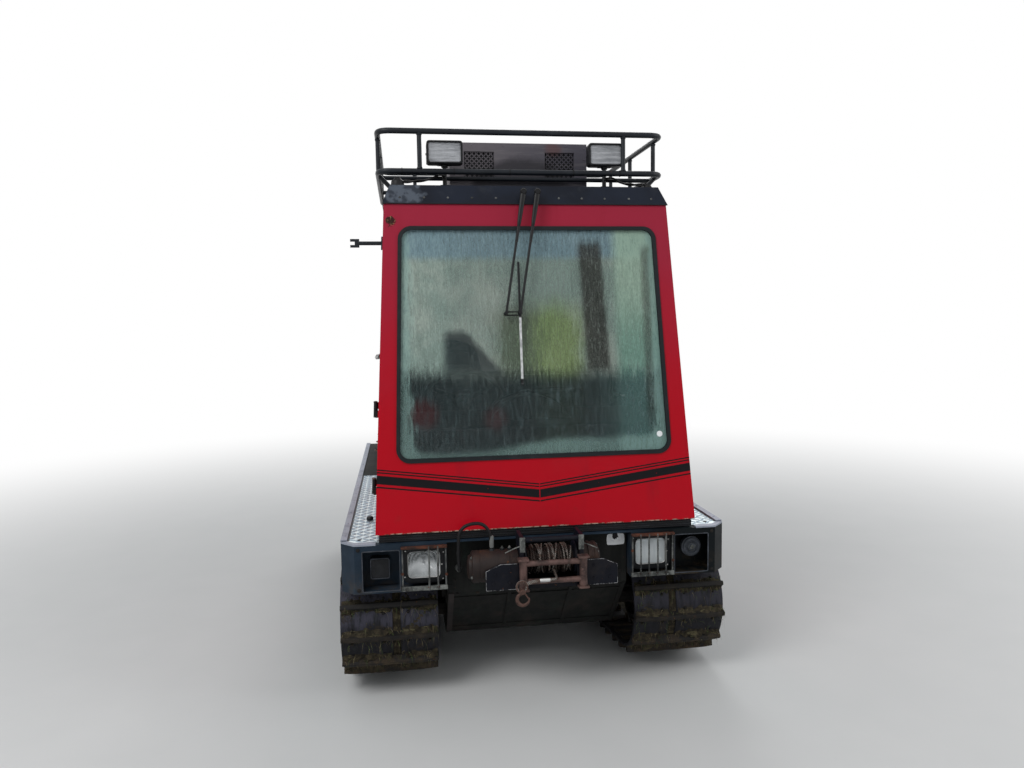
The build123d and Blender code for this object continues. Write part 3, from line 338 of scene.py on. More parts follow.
def rounded(points, radius, steps=6, closed=False):
    """Corners rounded: near each corner P the line runs (1-t)^2 A + 2t(1-t) P + t^2 B."""
    points = np.asarray(points, float)
    before, after = np.roll(points, 1, 0) - points, np.roll(points, -1, 0) - points
    reach = np.minimum(np.linalg.norm(before, axis=1), np.linalg.norm(after, axis=1)) * 0.499
    reach = np.minimum(reach, radius)[:, None]
    a, b = points + unit(before) * reach, points + unit(after) * reach
    t = np.linspace(0, 1, steps)[None, :, None]
    curve = (1 - t) ** 2 * a[:, None] + 2 * t * (1 - t) * points[:, None] + t ** 2 * b[:, None]
    if closed:
        return curve.reshape(-1, points.shape[1])
    return np.concatenate([points[:1], curve[1:-1].reshape(-1, points.shape[1]), points[-1:]])


def around(count):
    """Even angles round a circle, from 0."""
    return np.linspace(0, TURN, count, endpoint=False)


def ring(radius, count=12):
    """Circle of radius in two numbers: radius cos a, radius sin a."""
    angle = around(count)
    return np.stack([np.cos(angle), np.sin(angle)], 1) * radius


def circle(centre, radius, angle, first=Y, second=Z):
    """Points on a circle: centre + radius (cos a first + sin a second)."""
    spokes = np.cos(angle)[:, None] * first + np.sin(angle)[:, None] * second
    return np.asarray(centre, float) + radius * spokes


def sweep(path, profile, up=Z, closed=False, grow=1.0):
    """Profile carried along a path: path + a side + b top, side being square to the path and up."""
    path = np.asarray(path, float)
    ahead = np.roll(path, -1, 0) - np.roll(path, 1, 0) if closed else np.gradient(path, axis=0)
    side = unit(np.cross(ahead, up))
    top = unit(np.cross(side, ahead))
    grow = np.broadcast_to(np.asarray(grow, float).reshape(-1, 1, 1), (len(path), 1, 1))
    across = profile[None, :, :1] * side[:, None] + profile[None, :, 1:] * top[:, None]
    points = path[:, None] + across * grow
    return patch(points, wrap_u=closed, wrap_v=True, ends=not closed)


def tube(points, radius, up=Z, bend=0.0, closed=False, sides=12, steps=6):
    """Round tube along points whose corners are rounded by a bend."""
    path = rounded(points, bend, steps, closed) if bend else np.asarray(points, float)
    return sweep(path, ring(radius, sides), up, closed)


def lathe(profile, centre, axis=Y, turns=40, closed=False):
    """Rows of radius and distance turned about an axis: centre + distance axis + radius spoke."""
    axis = unit(axis)
    first = unit(np.cross(axis, (0.31, 0.17, 0.93)))
    second = np.cross(axis, first)
    profile = np.asarray(profile, float)
    angle = around(turns)[:, None]
    spoke = np.cos(angle) * first + np.sin(angle) * second
    points = (np.asarray(centre, float) + profile[:, 1, None, None] * axis
              + profile[:, 0, None, None] * spoke[None])
    return patch(points, wrap_u=closed, wrap_v=True, ends=not closed)


def drawn_in(outline, distance):
    """Outline moved inwards: each corner goes along the sum of its two edges' normals."""
    edge = unit(np.roll(outline, -1, 0) - outline)
    x, y = outline.T
    way = np.sign(np.sum(x * np.roll(y, -1) - y * np.roll(x, -1)))
    normal = np.stack([-edge[:, 1], edge[:, 0]], 1) * way
    last = np.roll(normal, 1, 0)
    return outline + distance * (normal + last) / (1 + np.sum(normal * last, 1, keepdims=True))


def prism(outline, axis, low, high, bevel=0.0):
    """Outline carried along an axis, its first and last rows drawn in by the bevel."""
    outline = np.asarray(outline, float)
    rows = ([(low, bevel), (low + bevel, 0), (high - bevel, 0), (high, bevel)]
            if bevel else [(low, 0), (high, 0)])
    order = {"x": [2, 0, 1], "y": [0, 2, 1], "z": [0, 1, 2]}[axis]
    grids = [np.insert(drawn_in(outline, inset) if inset else outline, 2, level, axis=1)[:, order]
             for level, inset in rows]
    return patch(np.stack(grids), wrap_v=True, ends=True)


def box(x0, x1, y0, y1, z0, z1, bevel=0.002, corner=None):
    """Box with small bevels: a rounded rectangle carried upwards."""
    outline = rounded([(x0, y0), (x1, y0), (x1, y1), (x0, y1)], corner or bevel, 3, True)
    return prism(outline, "z", z0, z1, bevel)


def pad_outline(x, z, width, height, corner, steps=5):
    """Rounded rectangle about a point."""
    w, h = width / 2, height / 2
    return rounded([(x - w, z - h), (x + w, z - h), (x + w, z + h), (x - w, z + h)], corner, steps, True)


def bolts(places, axis=-Y, radius=0.008, height=0.006):
    """Hexagon heads on washers, each standing on its place along the axis."""
    head = [(radius, 0), (radius, height * 0.8), (radius * 0.82, height), (0.0, height)]
    washer = [(radius * 1.4, 0), (radius * 1.4, height * 0.22), (0.0, height * 0.25)]
    return [copies(lathe(head, (0, 0, 0), axis, 6), places),
            copies(lathe(washer, (0, 0, 0), axis, 14), places)]


def domes(places, axis=-Y, radius=0.006, height=0.003, turns=12):
    """Low rivet heads: radius cos a, height sin a turned about the axis."""
    a = np.linspace(0, math.pi / 2, 4)
    return copies(lathe(np.stack([radius * np.cos(a), height * np.sin(a)], 1), (0, 0, 0), axis, turns),
                  places)


class Marked(list):
    """Shapes, each with the number of its finish."""

    def add(self, mark, *shapes):
        """Adds shapes that take the finish of this number."""
        self.extend((shape, mark) for shape in shapes)


def piece(name, shapes, finishes, replaces=(), body="chassis", smooth=32):
    """One finished mesh on a body: its shapes as whole arrays, doubles merged, faces outwards."""
    if not isinstance(finishes, (tuple, list)):
        finishes = [finishes]
    verts, loops, sizes, marks, start = [], [], [], [], 0
    for entry in shapes:
        shape, mark = entry if isinstance(entry[1], int) else (entry, 0)
        verts.append(shape[0])
        for faces in shape[1]:
            loops.append((faces + start).ravel())
            sizes.append(np.full(len(faces), faces.shape[1]))
            marks.append(np.full(len(faces), mark))
        start += len(shape[0])
    verts, loops, sizes, marks = (np.concatenate(v) for v in (verts, loops, sizes, marks))
    mesh = bpy.data.meshes.new(name)
    mesh.vertices.add(len(verts))
    mesh.vertices.foreach_set("co", verts.astype(np.float32).ravel())
    mesh.loops.add(len(loops))
    mesh.loops.foreach_set("vertex_index", loops.astype(np.int32))
    mesh.polygons.add(len(sizes))
    mesh.polygons.foreach_set("loop_start", np.concatenate([[0], np.cumsum(sizes)[:-1]]).astype(np.int32))
    mesh.update(calc_edges=True)
    for finish in finishes:
        mesh.materials.append(Finish.made[finish])
    mesh.polygons.foreach_set("material_index", marks.astype(np.int32))
    work = bmesh.new()
    work.from_mesh(mesh)
    bmesh.ops.remove_doubles(work, verts=work.verts, dist=1e-6)
    bmesh.ops.dissolve_degenerate(work, edges=work.edges, dist=1e-7)
    bmesh.ops.recalc_face_normals(work, faces=work.faces)
    work.to_mesh(mesh)
    work.free()
    mesh.polygons.foreach_set("use_smooth", np.ones(len(mesh.polygons), bool))
    mesh.set_sharp_from_angle(angle=math.radians(smooth))
    made = place_object(name, mesh)
    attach(made, body)
    if replaces:
        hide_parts(*replaces)
    return made


def dress(names, finish):
    """Gives CAD nodes a finish in place of their plain one."""
    for name in names:
        mesh = node[name].data
        mesh.materials.clear()
        mesh.materials.append(Finish.made[finish])


def front_y(z):
    """Y of the cab's leaning front at a height."""
    return CAB_FRONT + FRONT_LEAN * (z - CAB_LOW)


def half_at(z):
    """Half width of the cab at a height."""
    return CAB_HALF - SIDE_LEAN * (z - CAB_LOW)


# Finishes

def mix_red_paint():
    """Red enamel, paler and pinker higher up from sun fade and a painted sky reflection: a black V of lines,
    a chipped low edge, and black ironwork outside the skin.
    """
    f = Finish("red_paint")
    cloud = f.noise(2.6, 4)
    streak = f.noise(9.0, 3, stretch=(1, 1, 0.12))
    fine = f.noise(160.0, 2)
    # Paler, pinker red higher up: partly sun fade, partly a painted reflection of the sky.
    fade_and_sky_sheen = f.rise(f.z + (cloud - 0.5) * 0.5, 1.05, 2.0)
    f.start(fade_and_sky_sheen, (0.46, 0.0014, 0.0105), (0.33, 0.018, 0.043))
    f.lay(f.rise(streak, 0.55, 0.8) * 0.4, (0.22, 0.006, 0.016))
    f.lay(f.rise(cloud, 0.5, 0.75) * 0.3, (0.34, 0.016, 0.024))
    away = abs(f.x - 0.005)
    drop = f.z - 0.128 * away.least(0.652)
    lines = f.ridge(drop, 0.86, 0.017)
    for height, half in ((0.8885, 0.0026), (0.899, 0.0026), (0.8305, 0.003)):
        lines = lines + f.ridge(drop, height, half, 0.0006)
    worn = f.spots(0.22, 0.3, 90.0, 4)
    gap = f.rise(away, 0.0012, 0.0022)
    lines = lines * worn * gap * f.rise(f.y, 0.1, 0.09)
    f.lay(lines, (0.0035, 0.003, 0.0045))
    edge = f.rise(f.z + 0.004 * f.noise(30.0, 3), 0.7325, 0.7305) * f.spots(0.44, 0.52, 17.0, 6, 0.75)
    spots = f.spots(0.745, 0.77, 26.0, 5, 0.75, shift=(3, 1, 0))
    corner = f.distance((-0.572, -1.058, 1.982))
    spots = spots + f.rise(corner + 0.05 * f.noise(55.0, 5, 0.75), 0.05, 0.04)
    bare = f.tint(f.spots(0.47, 0.6, 90.0), (0.44, 0.32, 0.25), (0.1, 0.03, 0.018))
    rusted = f.tint(f.spots(0.56, 0.64, 120.0), (0.03, 0.01, 0.007), (0.25, 0.15, 0.07))
    bare = f.tint(f.rise(corner, 0.1, 0.09), bare, rusted)
    f.lay(edge + spots, bare)
    mud = f.rise(f.z, 0.98, 0.72) * f.spots(0.58, 0.76, 13.0, 6, 0.7)
    f.lay(mud * 0.25, (0.075, 0.035, 0.022))
    proud = f.rise(abs(f.x) + SIDE_LEAN * (f.z - CAB_LOW), CAB_HALF + 0.003, CAB_HALF + 0.0045)
    iron = f.tint(f.rise(abs(f.z - HANDLE_Z), 0.03, 0.026), (0.012, 0.012, 0.013), (0.4, 0.41, 0.42))
    f.lay(proud, iron)
    inner = (f.rise(abs(f.x) + SIDE_LEAN * (f.z - CAB_LOW), CAB_HALF - 0.012, CAB_HALF - 0.016)
             * f.rise(f.y - FRONT_LEAN * (f.z - CAB_LOW), CAB_FRONT + 0.012, CAB_FRONT + 0.016))
    inner = inner * f.rise(f.y, 0.145, 0.141)
    f.lay(inner, (0.022, 0.021, 0.021))
    rough = 0.34 + 0.16 * f.rise(cloud, 0.4, 0.7) + 0.3 * mud + 0.25 * edge + 0.05 * fine
    height = fine * 0.25 - edge * 0.7 + f.noise(7.0, 2) * 2.0
    f.done(rough, 0.0, f.relief(height, 0.0006, 0.6), coat_weight=0.04, coat_roughness=0.15,
           specular_ior_level=0.12)


def mix_painted(name, colour, rough=0.42, dust=(0.2, 0.19, 0.17), dusty=0.3, rust=0.0, coat=0.0, metal=0.0,
                low=None, scale=1.0, left=None, gloss=0.22):
    """Plain paint with clouds of dust, scratches, rust spots, mud low down and an optional painted shade at
    the left.
    """
    f = Finish(name)
    cloud = f.noise(5.0 * scale, 5, 0.6)
    fine = f.noise(190.0 * scale, 2)
    scratch = f.noise(30.0 * scale, 4, 0.7, stretch=(0.25, 0.25, 2.2), shift=(1, 2, 5))
    shade = tuple(c * 0.7 for c in colour)
    f.start(f.rise(cloud, 0.35, 0.65), shade, colour)
    dirt = f.spots(0.45, 0.8, 9.0 * scale, 6, 0.68, shift=(5, 0, 2)) * dusty
    f.lay(dirt, dust)
    # left: a painted shade laid over the vehicle's left side, from x 0.3 outwards.
    if left:
        f.lay(f.rise(f.x, 0.3, 0.55), left)
    f.lay(f.rise(scratch, 0.7, 0.74) * 0.35, tuple(min(1.0, c * 2.5 + 0.06) for c in colour))
    spots = (f.spots(0.7 - 0.2 * rust, 0.74 - 0.2 * rust, 42.0 * scale, 5, 0.7, shift=(2, 7, 1))
             * min(1.0, 4 * rust))
    f.lay(spots, f.tint(fine, (0.055, 0.022, 0.01), (0.19, 0.075, 0.028)))
    if low is not None:
        splash = f.rise(f.z, low + 0.16, low - 0.05) * f.spots(0.42, 0.66, 16.0, 6, 0.72)
        f.lay(splash * 0.75, f.tint(fine, (0.05, 0.034, 0.02), (0.11, 0.08, 0.05)))
        dirt = dirt + splash
    level = rough + 0.25 * dirt + 0.3 * spots + 0.08 * (fine - 0.5)
    f.done(level, metal, f.relief(fine * 0.4 + cloud * 1.2 + spots, 0.0005, 0.5), coat_weight=coat,
           coat_roughness=0.2, specular_ior_level=gloss)


def mix_rust(name, dark, light, rough=0.78, flake=1.0, metal=0.25):
    """Rusted steel: brown clouds, orange bloom and pitted scale."""
    f = Finish(name)
    cloud = f.noise(14.0, 6, 0.65)
    fine = f.noise(95.0, 5, 0.7)
    pits = f.rise(f.add("ShaderNodeTexVoronoi", {}, {"Vector": f.where, "Scale": 130.0}), 0.1, 0.45)
    f.start(f.rise(cloud, 0.35, 0.65), dark, light)
    f.lay(f.rise(fine, 0.55, 0.7) * 0.55, tuple(min(1.0, c * 1.9) for c in light))
    f.lay(f.spots(0.6, 0.7, 30.0, 4, shift=(4, 4, 0)) * 0.6, (0.018, 0.014, 0.013))
    f.done(rough + 0.12 * (fine - 0.5), metal, f.relief(fine + pits * 0.6, 0.0008 * flake, 0.8))


def mix_bare_metal(name, colour, rough=0.42, dirt=(0.07, 0.055, 0.04), dirty=0.5, metal=0.85,
                   brushed=(1, 1, 1)):
    """Bare or galvanised metal with a fine grain, dull patches and dirt in clouds."""
    f = Finish(name)
    grain = f.noise(60.0, 4, 0.7, stretch=brushed)
    cloud = f.noise(8.0, 5, 0.65)
    fine = f.noise(230.0, 2)
    f.start(grain, tuple(c * 0.72 for c in colour), tuple(min(1.0, c * 1.15) for c in colour))
    grime = f.spots(0.48, 0.74, 11.0, 6, 0.7, shift=(9, 3, 1)) * dirty
    f.lay(grime, dirt)
    level = rough + 0.2 * (cloud - 0.5) + 0.35 * grime
    f.done(level, metal * (1.0 - 0.8 * grime), f.relief(fine + grain * 0.5, 0.0003, 0.5))


def mix_rubber(name, colour=(0.014, 0.014, 0.015), rough=0.62, dust=0.4, mud=0.0):
    """Weathered rubber: fine pores, grey bloom and, on the tyres, packed mud."""
    f = Finish(name)
    fine = f.noise(140.0, 4, 0.7)
    cloud = f.noise(12.0, 5, 0.65)
    f.start(f.rise(cloud, 0.45, 0.8) * dust, colour, (0.06, 0.06, 0.066))
    height = fine * 0.5
    level = rough + 0.15 * (cloud - 0.5)
    if mud:
        soil = f.spots(0.62 - 0.28 * mud, 0.74 - 0.28 * mud, 15.0, 7, 0.72, shift=(3, 0, 7))
        earth = f.tint(f.noise(55.0, 5, 0.7), (0.012, 0.009, 0.006), (0.06, 0.045, 0.028))
        f.lay(soil, earth)
        level = level + 0.25 * soil
        height = height + soil * (1.4 + f.noise(90.0, 5, 0.7))
    f.done(level, 0.0, f.relief(height, 0.0012 if mud else 0.0004, 0.7))


def mix_track_rubber():
    """Belt rubber: near black, grey violet on the upper front with less of it on the left track, smeared with
    soil.
    """
    f = Finish("track_rubber")
    fine = f.noise(120.0, 4, 0.7)
    runs = f.noise(34.0, 5, 0.7, stretch=(1.2, 1.2, 0.25))
    upper_front_grey = f.rise(f.z + 0.08 * (runs - 0.5), 0.3, 0.35) * f.rise(f.y, -0.95, -1.08)
    f.start(f.rise(runs, 0.4, 0.62), (0.0055, 0.0057, 0.008), (0.0125, 0.0122, 0.0165))
    f.lay(upper_front_grey * f.rise(runs, 0.3, 0.55) * (0.9 - 0.55 * f.rise(f.x, 0.0, 0.1)), (0.046, 0.045, 0.064))
    soil = f.spots(0.56, 0.68, 15.0, 7, 0.72, shift=(3, 0, 7))
    f.lay(soil * 0.85, f.tint(fine, (0.01, 0.008, 0.006), (0.045, 0.035, 0.024)))
    f.done(0.62 + 0.2 * soil, 0.0, f.relief(fine * 0.4 + soil, 0.0012, 0.6))


def mix_mud():
    """Damp soil packed between the bars, with straw and grass colours through it."""
    f = Finish("mud")
    lump = f.noise(38.0, 7, 0.72)
    f.start(f.rise(lump, 0.35, 0.65), (0.01, 0.008, 0.005), (0.052, 0.041, 0.024))
    straw = f.spots(0.6, 0.68, 60.0, 4, stretch=(0.18, 1.5, 1.0))
    f.lay(straw * 0.5, (0.13, 0.115, 0.06))
    green = f.spots(0.64, 0.7, 50.0, 4, stretch=(1.2, 0.2, 0.6), shift=(3, 3, 3))
    f.lay(green * 0.6, (0.03, 0.05, 0.014))
    f.done(0.86 - 0.1 * lump, 0.0, f.relief(lump + f.noise(170.0, 4), 0.002, 0.9))


def mix_grass(name, dark, light):
    """Blades of cut grass, from fresh to straw along their own place."""
    f = Finish(name)
    f.start(f.spots(0.35, 0.65, 24.0, 3), dark, light)
    f.done(0.62 + 0.1 * f.noise(80.0), 0.0)


def mix_screen_glass():
    """Old glass misted in fine upright runs: pale at the left, greener at the right and thin low down, with
    painted shade of the cab, pillars and seat and a painted view of grass seen through it.
    """
    f = Finish("screen_glass")
    runs = f.noise(52.0, 5, 0.65, stretch=(1.8, 1.8, 0.16))
    thin = f.noise(165.0, 4, 0.75, stretch=(1.5, 1.5, 0.34), shift=(1, 0, 4))
    cloud = f.noise(4.2, 5, 0.6)
    # low: painted shade of the dark cab below the sill, seen through the glass.
    low = f.rise(f.z + 0.1 * (runs - 0.5) + 0.05 * (cloud - 0.5), 1.4, 1.3)
    # top: painted view of the roof lining seen through the top band.
    top = f.rise(f.z + 0.02 * (runs - 0.5), 1.805, 1.85)
    right = f.rise(f.x, 0.33, 0.39)
    rim = (f.rise(abs(f.x) + 0.1 * (runs - 0.5) + 0.06 * (cloud - 0.5), 0.47, 0.53)
           + f.rise(f.z - 0.06 * cloud + 0.045 * f.rise(f.x, 0.25, -0.35) + 0.05 * (runs - 0.5), 1.09, 1.02))
    # post and second: painted dark shapes of the cab's pillars seen through the glass.
    post = (f.ridge(f.x + 0.045 * (f.z - 1.5) + 0.02 * (runs - 0.5), 0.272, 0.052, 0.018)
            * f.rise(f.z + 0.04 * runs, 1.34, 1.4) * f.rise(f.z + 0.05 * runs, 1.95, 1.89))
    second = f.ridge(f.x, 0.497, 0.018, 0.014) * f.rise(f.z, 1.05, 1.2) * f.rise(f.z, 1.9, 1.85)
    # green: painted view of the grass behind the vehicle, seen through the glass.
    green = (f.rise(abs(f.x - 0.03) + 0.16 * (runs - 0.5), 0.24, 0.12)
             * f.rise(f.z + 0.12 * (cloud - 0.5), 1.68, 1.56))
    # seat: painted shade of the driver's seat seen through the glass.
    slope = f.x + 0.85 * (f.z - 1.392) + 0.03 * (runs - 0.5)
    seat = (f.rise(slope, -0.14, -0.185) * f.rise(f.x + 0.03 * (runs - 0.5), -0.39, -0.345)
            * f.rise(f.z, 1.55, 1.505))
    left = f.rise(f.x, -0.3, -0.4) * (1.0 - low)
    f.start(f.rise(cloud, 0.38, 0.66), (0.29, 0.385, 0.34), (0.43, 0.5, 0.44))
    # Painted view and shade over the mist colour: grass, roof lining, dark cab low down, seat and pillars.
    f.lay(green * 0.8,
          f.tint(f.rise(f.x + 0.2 * (runs - 0.5), -0.06, 0.08), (0.085, 0.115, 0.06), (0.185, 0.27, 0.07)))
    f.lay(top * 0.85, (0.175, 0.275, 0.325))
    f.lay(right * 0.85, f.tint(f.rise(f.z, 1.4, 1.75), (0.13, 0.285, 0.22), (0.31, 0.44, 0.34)))
    f.lay(low * 0.92, f.tint(f.rise(f.x, 0.2, 0.46), (0.024, 0.038, 0.044), (0.08, 0.16, 0.152)))
    f.lay(seat * (1.0 - low) * 0.85, (0.03, 0.048, 0.058))
    # Painted red glints of the cab's inner panels, seen low through the glass.
    painted_red_glint = f.near((-0.461, -1.165, 1.198), 0.085, 0.03) + 0.6 * f.near((-0.167, -1.169, 1.17), 0.07, 0.02)
    f.lay(low * painted_red_glint * 0.55, (0.15, 0.022, 0.026))
    f.lay(low * f.rise(runs, 0.5, 0.64) * 0.55, (0.085, 0.125, 0.13))
    f.lay(f.rise(rim, 0.2, 1.0) * 0.65, (0.255, 0.4, 0.365))
    f.lay(post * 0.92 + second * 0.62, (0.03, 0.03, 0.026))
    mist = (0.47 + 0.2 * top + 0.26 * right - 0.17 * low + 0.22 * rim + 0.16 * left - 0.2 * seat * (1.0 - low)
            + 0.12 * (cloud - 0.5) + 0.22 * post + 0.1 * green)
    mist = mist * (0.8 + 0.4 * f.rise(runs, 0.32, 0.68)) * (0.8 + 0.4 * f.rise(thin, 0.35, 0.65))
    drips = f.rise(thin + 0.5 * runs, 0.8, 0.92)
    f.lay(drips * (0.25 + 0.35 * low), f.tint(low, (0.38, 0.46, 0.41), (0.13, 0.19, 0.2)))
    # rear: the rear pane painted with the grass seen through it, green below and greyer above.
    rear = f.rise(f.y, 0.0, 0.05)
    f.lay(rear, f.tint(f.rise(f.z, 1.4, 1.8), (0.105, 0.135, 0.105), (0.2, 0.245, 0.215)))
    mist = mist * (1.0 - rear) + rear * (0.76 + 0.14 * runs)
    alpha = f.add("ShaderNodeClamp", {}, {0: mist, 1: 0.1, 2: 0.94})
    f.done(0.12 + 0.3 * mist, 0.0, f.relief(thin, 0.0001, 0.15), alpha=alpha, ior=1.5)


def mix_clear_glass(name, tone, level, streak=0.25, left=0.0):
    """Window or lamp glass seen through a thin film with faint runs, thicker by a little on the left."""
    f = Finish(name)
    runs = f.noise(40.0, 5, 0.65, stretch=(1.5, 1.5, 0.18))
    film = level + streak * (runs - 0.35) + left * f.rise(f.x, 0.0, 0.1)
    f.start(runs, tuple(c * 0.8 for c in tone), tone)
    alpha = f.add("ShaderNodeClamp", {}, {0: film, 1: 0.04, 2: 0.94})
    f.done(0.1 + 0.2 * runs, 0.0, f.relief(f.noise(60.0), 0.0002, 0.2), alpha=alpha, ior=1.5)


def mix_reeded_glass():
    """Work lamp glass: fine level ribs and upright flutes, greyed by dust."""
    f = Finish("work_lens")
    wander = f.z * 1150.0 + f.noise(24.0, 3, stretch=(0.5, 1, 2)) * 5.0
    rib, flute = wander.wave(), (f.x * 560.0).wave()
    grey = f.noise(30.0, 4, 0.7, stretch=(0.4, 1, 3))
    f.start(rib * f.rise(grey, 0.3, 0.6), (0.3, 0.31, 0.33), (0.74, 0.75, 0.78))
    f.done(0.28, 0.0, f.relief(rib + flute * 0.3, 0.0006, 0.6), alpha=0.82 + 0.12 * rib, ior=1.5)


def mix_cloth(name, colour, pitch=0.0045):
    """Worn seat cloth: crossed threads from two sines, and lint."""
    f = Finish(name)
    turns = TURN / pitch
    warp, weft = (f.x.sum("SINE", way * turns) for way in (f.x, f.z + f.y))
    weave = warp * weft * 0.5 + 0.5
    cloud = f.noise(7.0, 5)
    f.start(weave * 0.4 + 0.3, tuple(c * 0.6 for c in colour), colour)
    f.lay(f.rise(cloud, 0.45, 0.8) * 0.35, tuple(c * 1.6 + 0.01 for c in colour))
    f.done(0.88 - 0.08 * cloud, 0.0, f.relief(weave + f.noise(200.0) * 0.5, 0.0006, 0.6),
           sheen_weight=0.25)


def mix_lamp_reflector():
    """Silvered bowl: a painted highlight below and painted dark reflections in arcs about the bulb above,
    greyer low near the rim, with a few dull spots.
    """
    f = Finish("reflector")
    dull = f.spots(0.6, 0.78, 34.0, 4, 0.6)
    out = f.distance((-LAMP_X, -1.18, 0.592)).least(f.distance((LAMP_X, -1.18, 0.592)))
    rings = (out * 420.0).wave()
    # above: upper part of each headlamp bowl, painted dark in arcs about the bulb as a reflection, which
    # leaves a painted highlight below.
    above = f.rise(f.z + 0.25 * (out - 0.03), 0.578, 0.612) * f.rise(f.z, 2.0, 1.5) * f.rise(f.x, 0.6, -0.4)
    f.start(dull * 0.4, (0.98, 0.99, 1.0), (0.5, 0.51, 0.5))
    f.lay(above * (0.62 + 0.38 * rings), (0.04, 0.046, 0.048))
    f.lay(f.rise(f.z, 0.575, 0.545) * f.rise(out, 0.03, 0.05) * 0.45, (0.16, 0.17, 0.17))
    plated = 0.25 + 0.45 * above + 0.55 * f.rise(f.x, 0.3, 0.45) * (1.0 - above) * f.rise(f.z, 2.0, 1.5)
    f.done(0.24 + 0.35 * dull, plated, f.relief(rings * above, 0.0006, 0.3))


def mix_rope(name, dark, light, rusty):
    """Strands of wire rope laid at a slant, dull zinc with rust between."""
    f = Finish(name)
    lay = f.x * 900.0 + f.z * 520.0 + f.y * 330.0
    strand = lay.wave()
    rust = f.spots(0.42, 0.62, 45.0, 5, 0.7)
    f.start(strand, dark, light)
    f.lay(rust * 0.65, rusty)
    f.done(0.5 + 0.25 * rust, 0.75 - 0.5 * rust, f.relief(strand, 0.0012, 0.9))


def mix_roof():
    """Blue-black roof paint, paler in a patch at the right front corner."""
    f = Finish("roof_paint")
    cloud = f.noise(4.0, 5, 0.6)
    fine = f.noise(150.0, 3)
    f.start(f.rise(cloud, 0.35, 0.65), (0.004, 0.006, 0.012), (0.008, 0.0118, 0.0225))
    near = f.distance((-0.515, -1.03, 2.095))
    pale_patch = f.rise(near + (f.noise(14.0, 5) - 0.5) * 0.18, 0.085, 0.055)
    f.lay(pale_patch * (0.25 + 0.6 * f.spots(0.44, 0.56, 22.0, 3, 0.5)), (0.095, 0.112, 0.14))
    dust = f.spots(0.5, 0.8, 12.0, 6, 0.7) * f.rise(f.z, 2.06, 2.14)
    f.lay(dust * 0.25, (0.08, 0.085, 0.095))
    f.done(0.36 + 0.2 * cloud + 0.25 * dust, 0.0, f.relief(fine + cloud * 2, 0.0005, 0.4),
           coat_weight=0.05, specular_ior_level=0.13)


def mix_weathered_sheet():
    """Roof box sheet: brown-grey, with a dark bloom in the middle and rust at the right."""
    f = Finish("weathered_sheet")
    cloud = f.noise(6.0, 6, 0.68)
    brush = f.noise(26.0, 4, stretch=(0.2, 1, 3))
    f.start(f.rise(f.x, -0.3, 0.3), (0.145, 0.132, 0.145), (0.08, 0.076, 0.094))
    f.lay(f.rise(brush, 0.5, 0.7) * 0.4, (0.19, 0.18, 0.185))
    mound = f.z + 2.2 * (f.x - 0.02) * (f.x - 0.02) + 0.1 * (cloud - 0.5)
    f.lay(f.rise(mound, 2.33, 2.285) * f.rise(abs(f.x), 0.3, 0.16) * 0.8, (0.03, 0.029, 0.034))
    f.lay(f.rise(f.distance((0.17, -0.74, 2.352)) + (cloud - 0.5) * 0.08, 0.045, 0.01) * 0.7,
          (0.115, 0.062, 0.062))
    speck = f.spots(0.66, 0.72, 60.0, 5, 0.75)
    f.lay(speck * 0.7, (0.09, 0.035, 0.018))
    f.done(0.5 + 0.2 * cloud, 0.35, f.relief(cloud * 2 + speck, 0.0006, 0.5))


def mix_label():
    """Blank white label, torn through to the black paint near its middle."""
    f = Finish("torn_label")
    torn = f.rise(f.distance((0.33, -1.179, 0.654)) + 0.035 * (f.noise(70.0, 4, 0.7) - 0.5), 0.0125, 0.011)
    f.start(f.spots(0.5, 0.7, 60.0, 5, 0.7) * 0.4, (0.95, 0.96, 0.97), (0.62, 0.64, 0.66))
    f.lay(torn, (0.01, 0.01, 0.011))
    f.done(0.6, 0.0, f.relief(torn, 0.0003, 0.4))


def mix_hull():
    """Belly paint: green-black with upright runs of soil, brown patches low down and a little rust."""
    f = Finish("hull_paint")
    runs = f.noise(26.0, 5, 0.7, stretch=(1.0, 1.0, 0.22))
    cloud = f.noise(7.0, 5, 0.65)
    f.start(f.rise(runs, 0.4, 0.62), (0.0026, 0.0032, 0.003), (0.008, 0.0084, 0.0075))
    f.lay(f.rise(cloud, 0.48, 0.66) * f.rise(f.z, 0.5, 0.28) * 0.85,
          f.tint(runs, (0.01, 0.008, 0.0068), (0.028, 0.022, 0.019)))
    f.lay(f.spots(0.55, 0.7, 9.0, 4, shift=(6, 1, 3)) * 0.6, (0.01, 0.016, 0.0125))
    f.lay(f.spots(0.66, 0.72, 60.0, 5, 0.7) * 0.5, (0.06, 0.028, 0.016))
    f.done(0.62 + 0.2 * cloud, 0.0, f.relief(runs + f.noise(120.0, 4) * 0.5, 0.001, 0.6))


def mix_scraped():
    """Steel edge with the paint knocked off in stretches."""
    f = Finish("scraped_edge")
    bare = f.spots(0.47, 0.55, 48.0, 5, 0.75)
    f.start(bare, (0.016, 0.017, 0.02), f.tint(f.noise(200.0), (0.2, 0.2, 0.205), (0.55, 0.56, 0.57)))
    f.done(0.5, 0.4 * bare, f.relief(bare, 0.0004, 0.5))


def mix_wiper_blade():
    """Wiper link and blade: black above, bare silver below the link."""
    f = Finish("wiper_blade")
    bare = f.rise(f.z, 1.586, 1.58) * f.rise(f.z, 1.31, 1.318)
    worn = f.spots(0.35, 0.6, 60.0, 4)
    f.start(bare, (0.014, 0.014, 0.016), f.tint(worn, (0.3, 0.31, 0.32), (0.56, 0.57, 0.58)))
    f.done(0.45 - 0.1 * bare, bare * 0.8, f.relief(f.noise(120.0), 0.0003, 0.4))


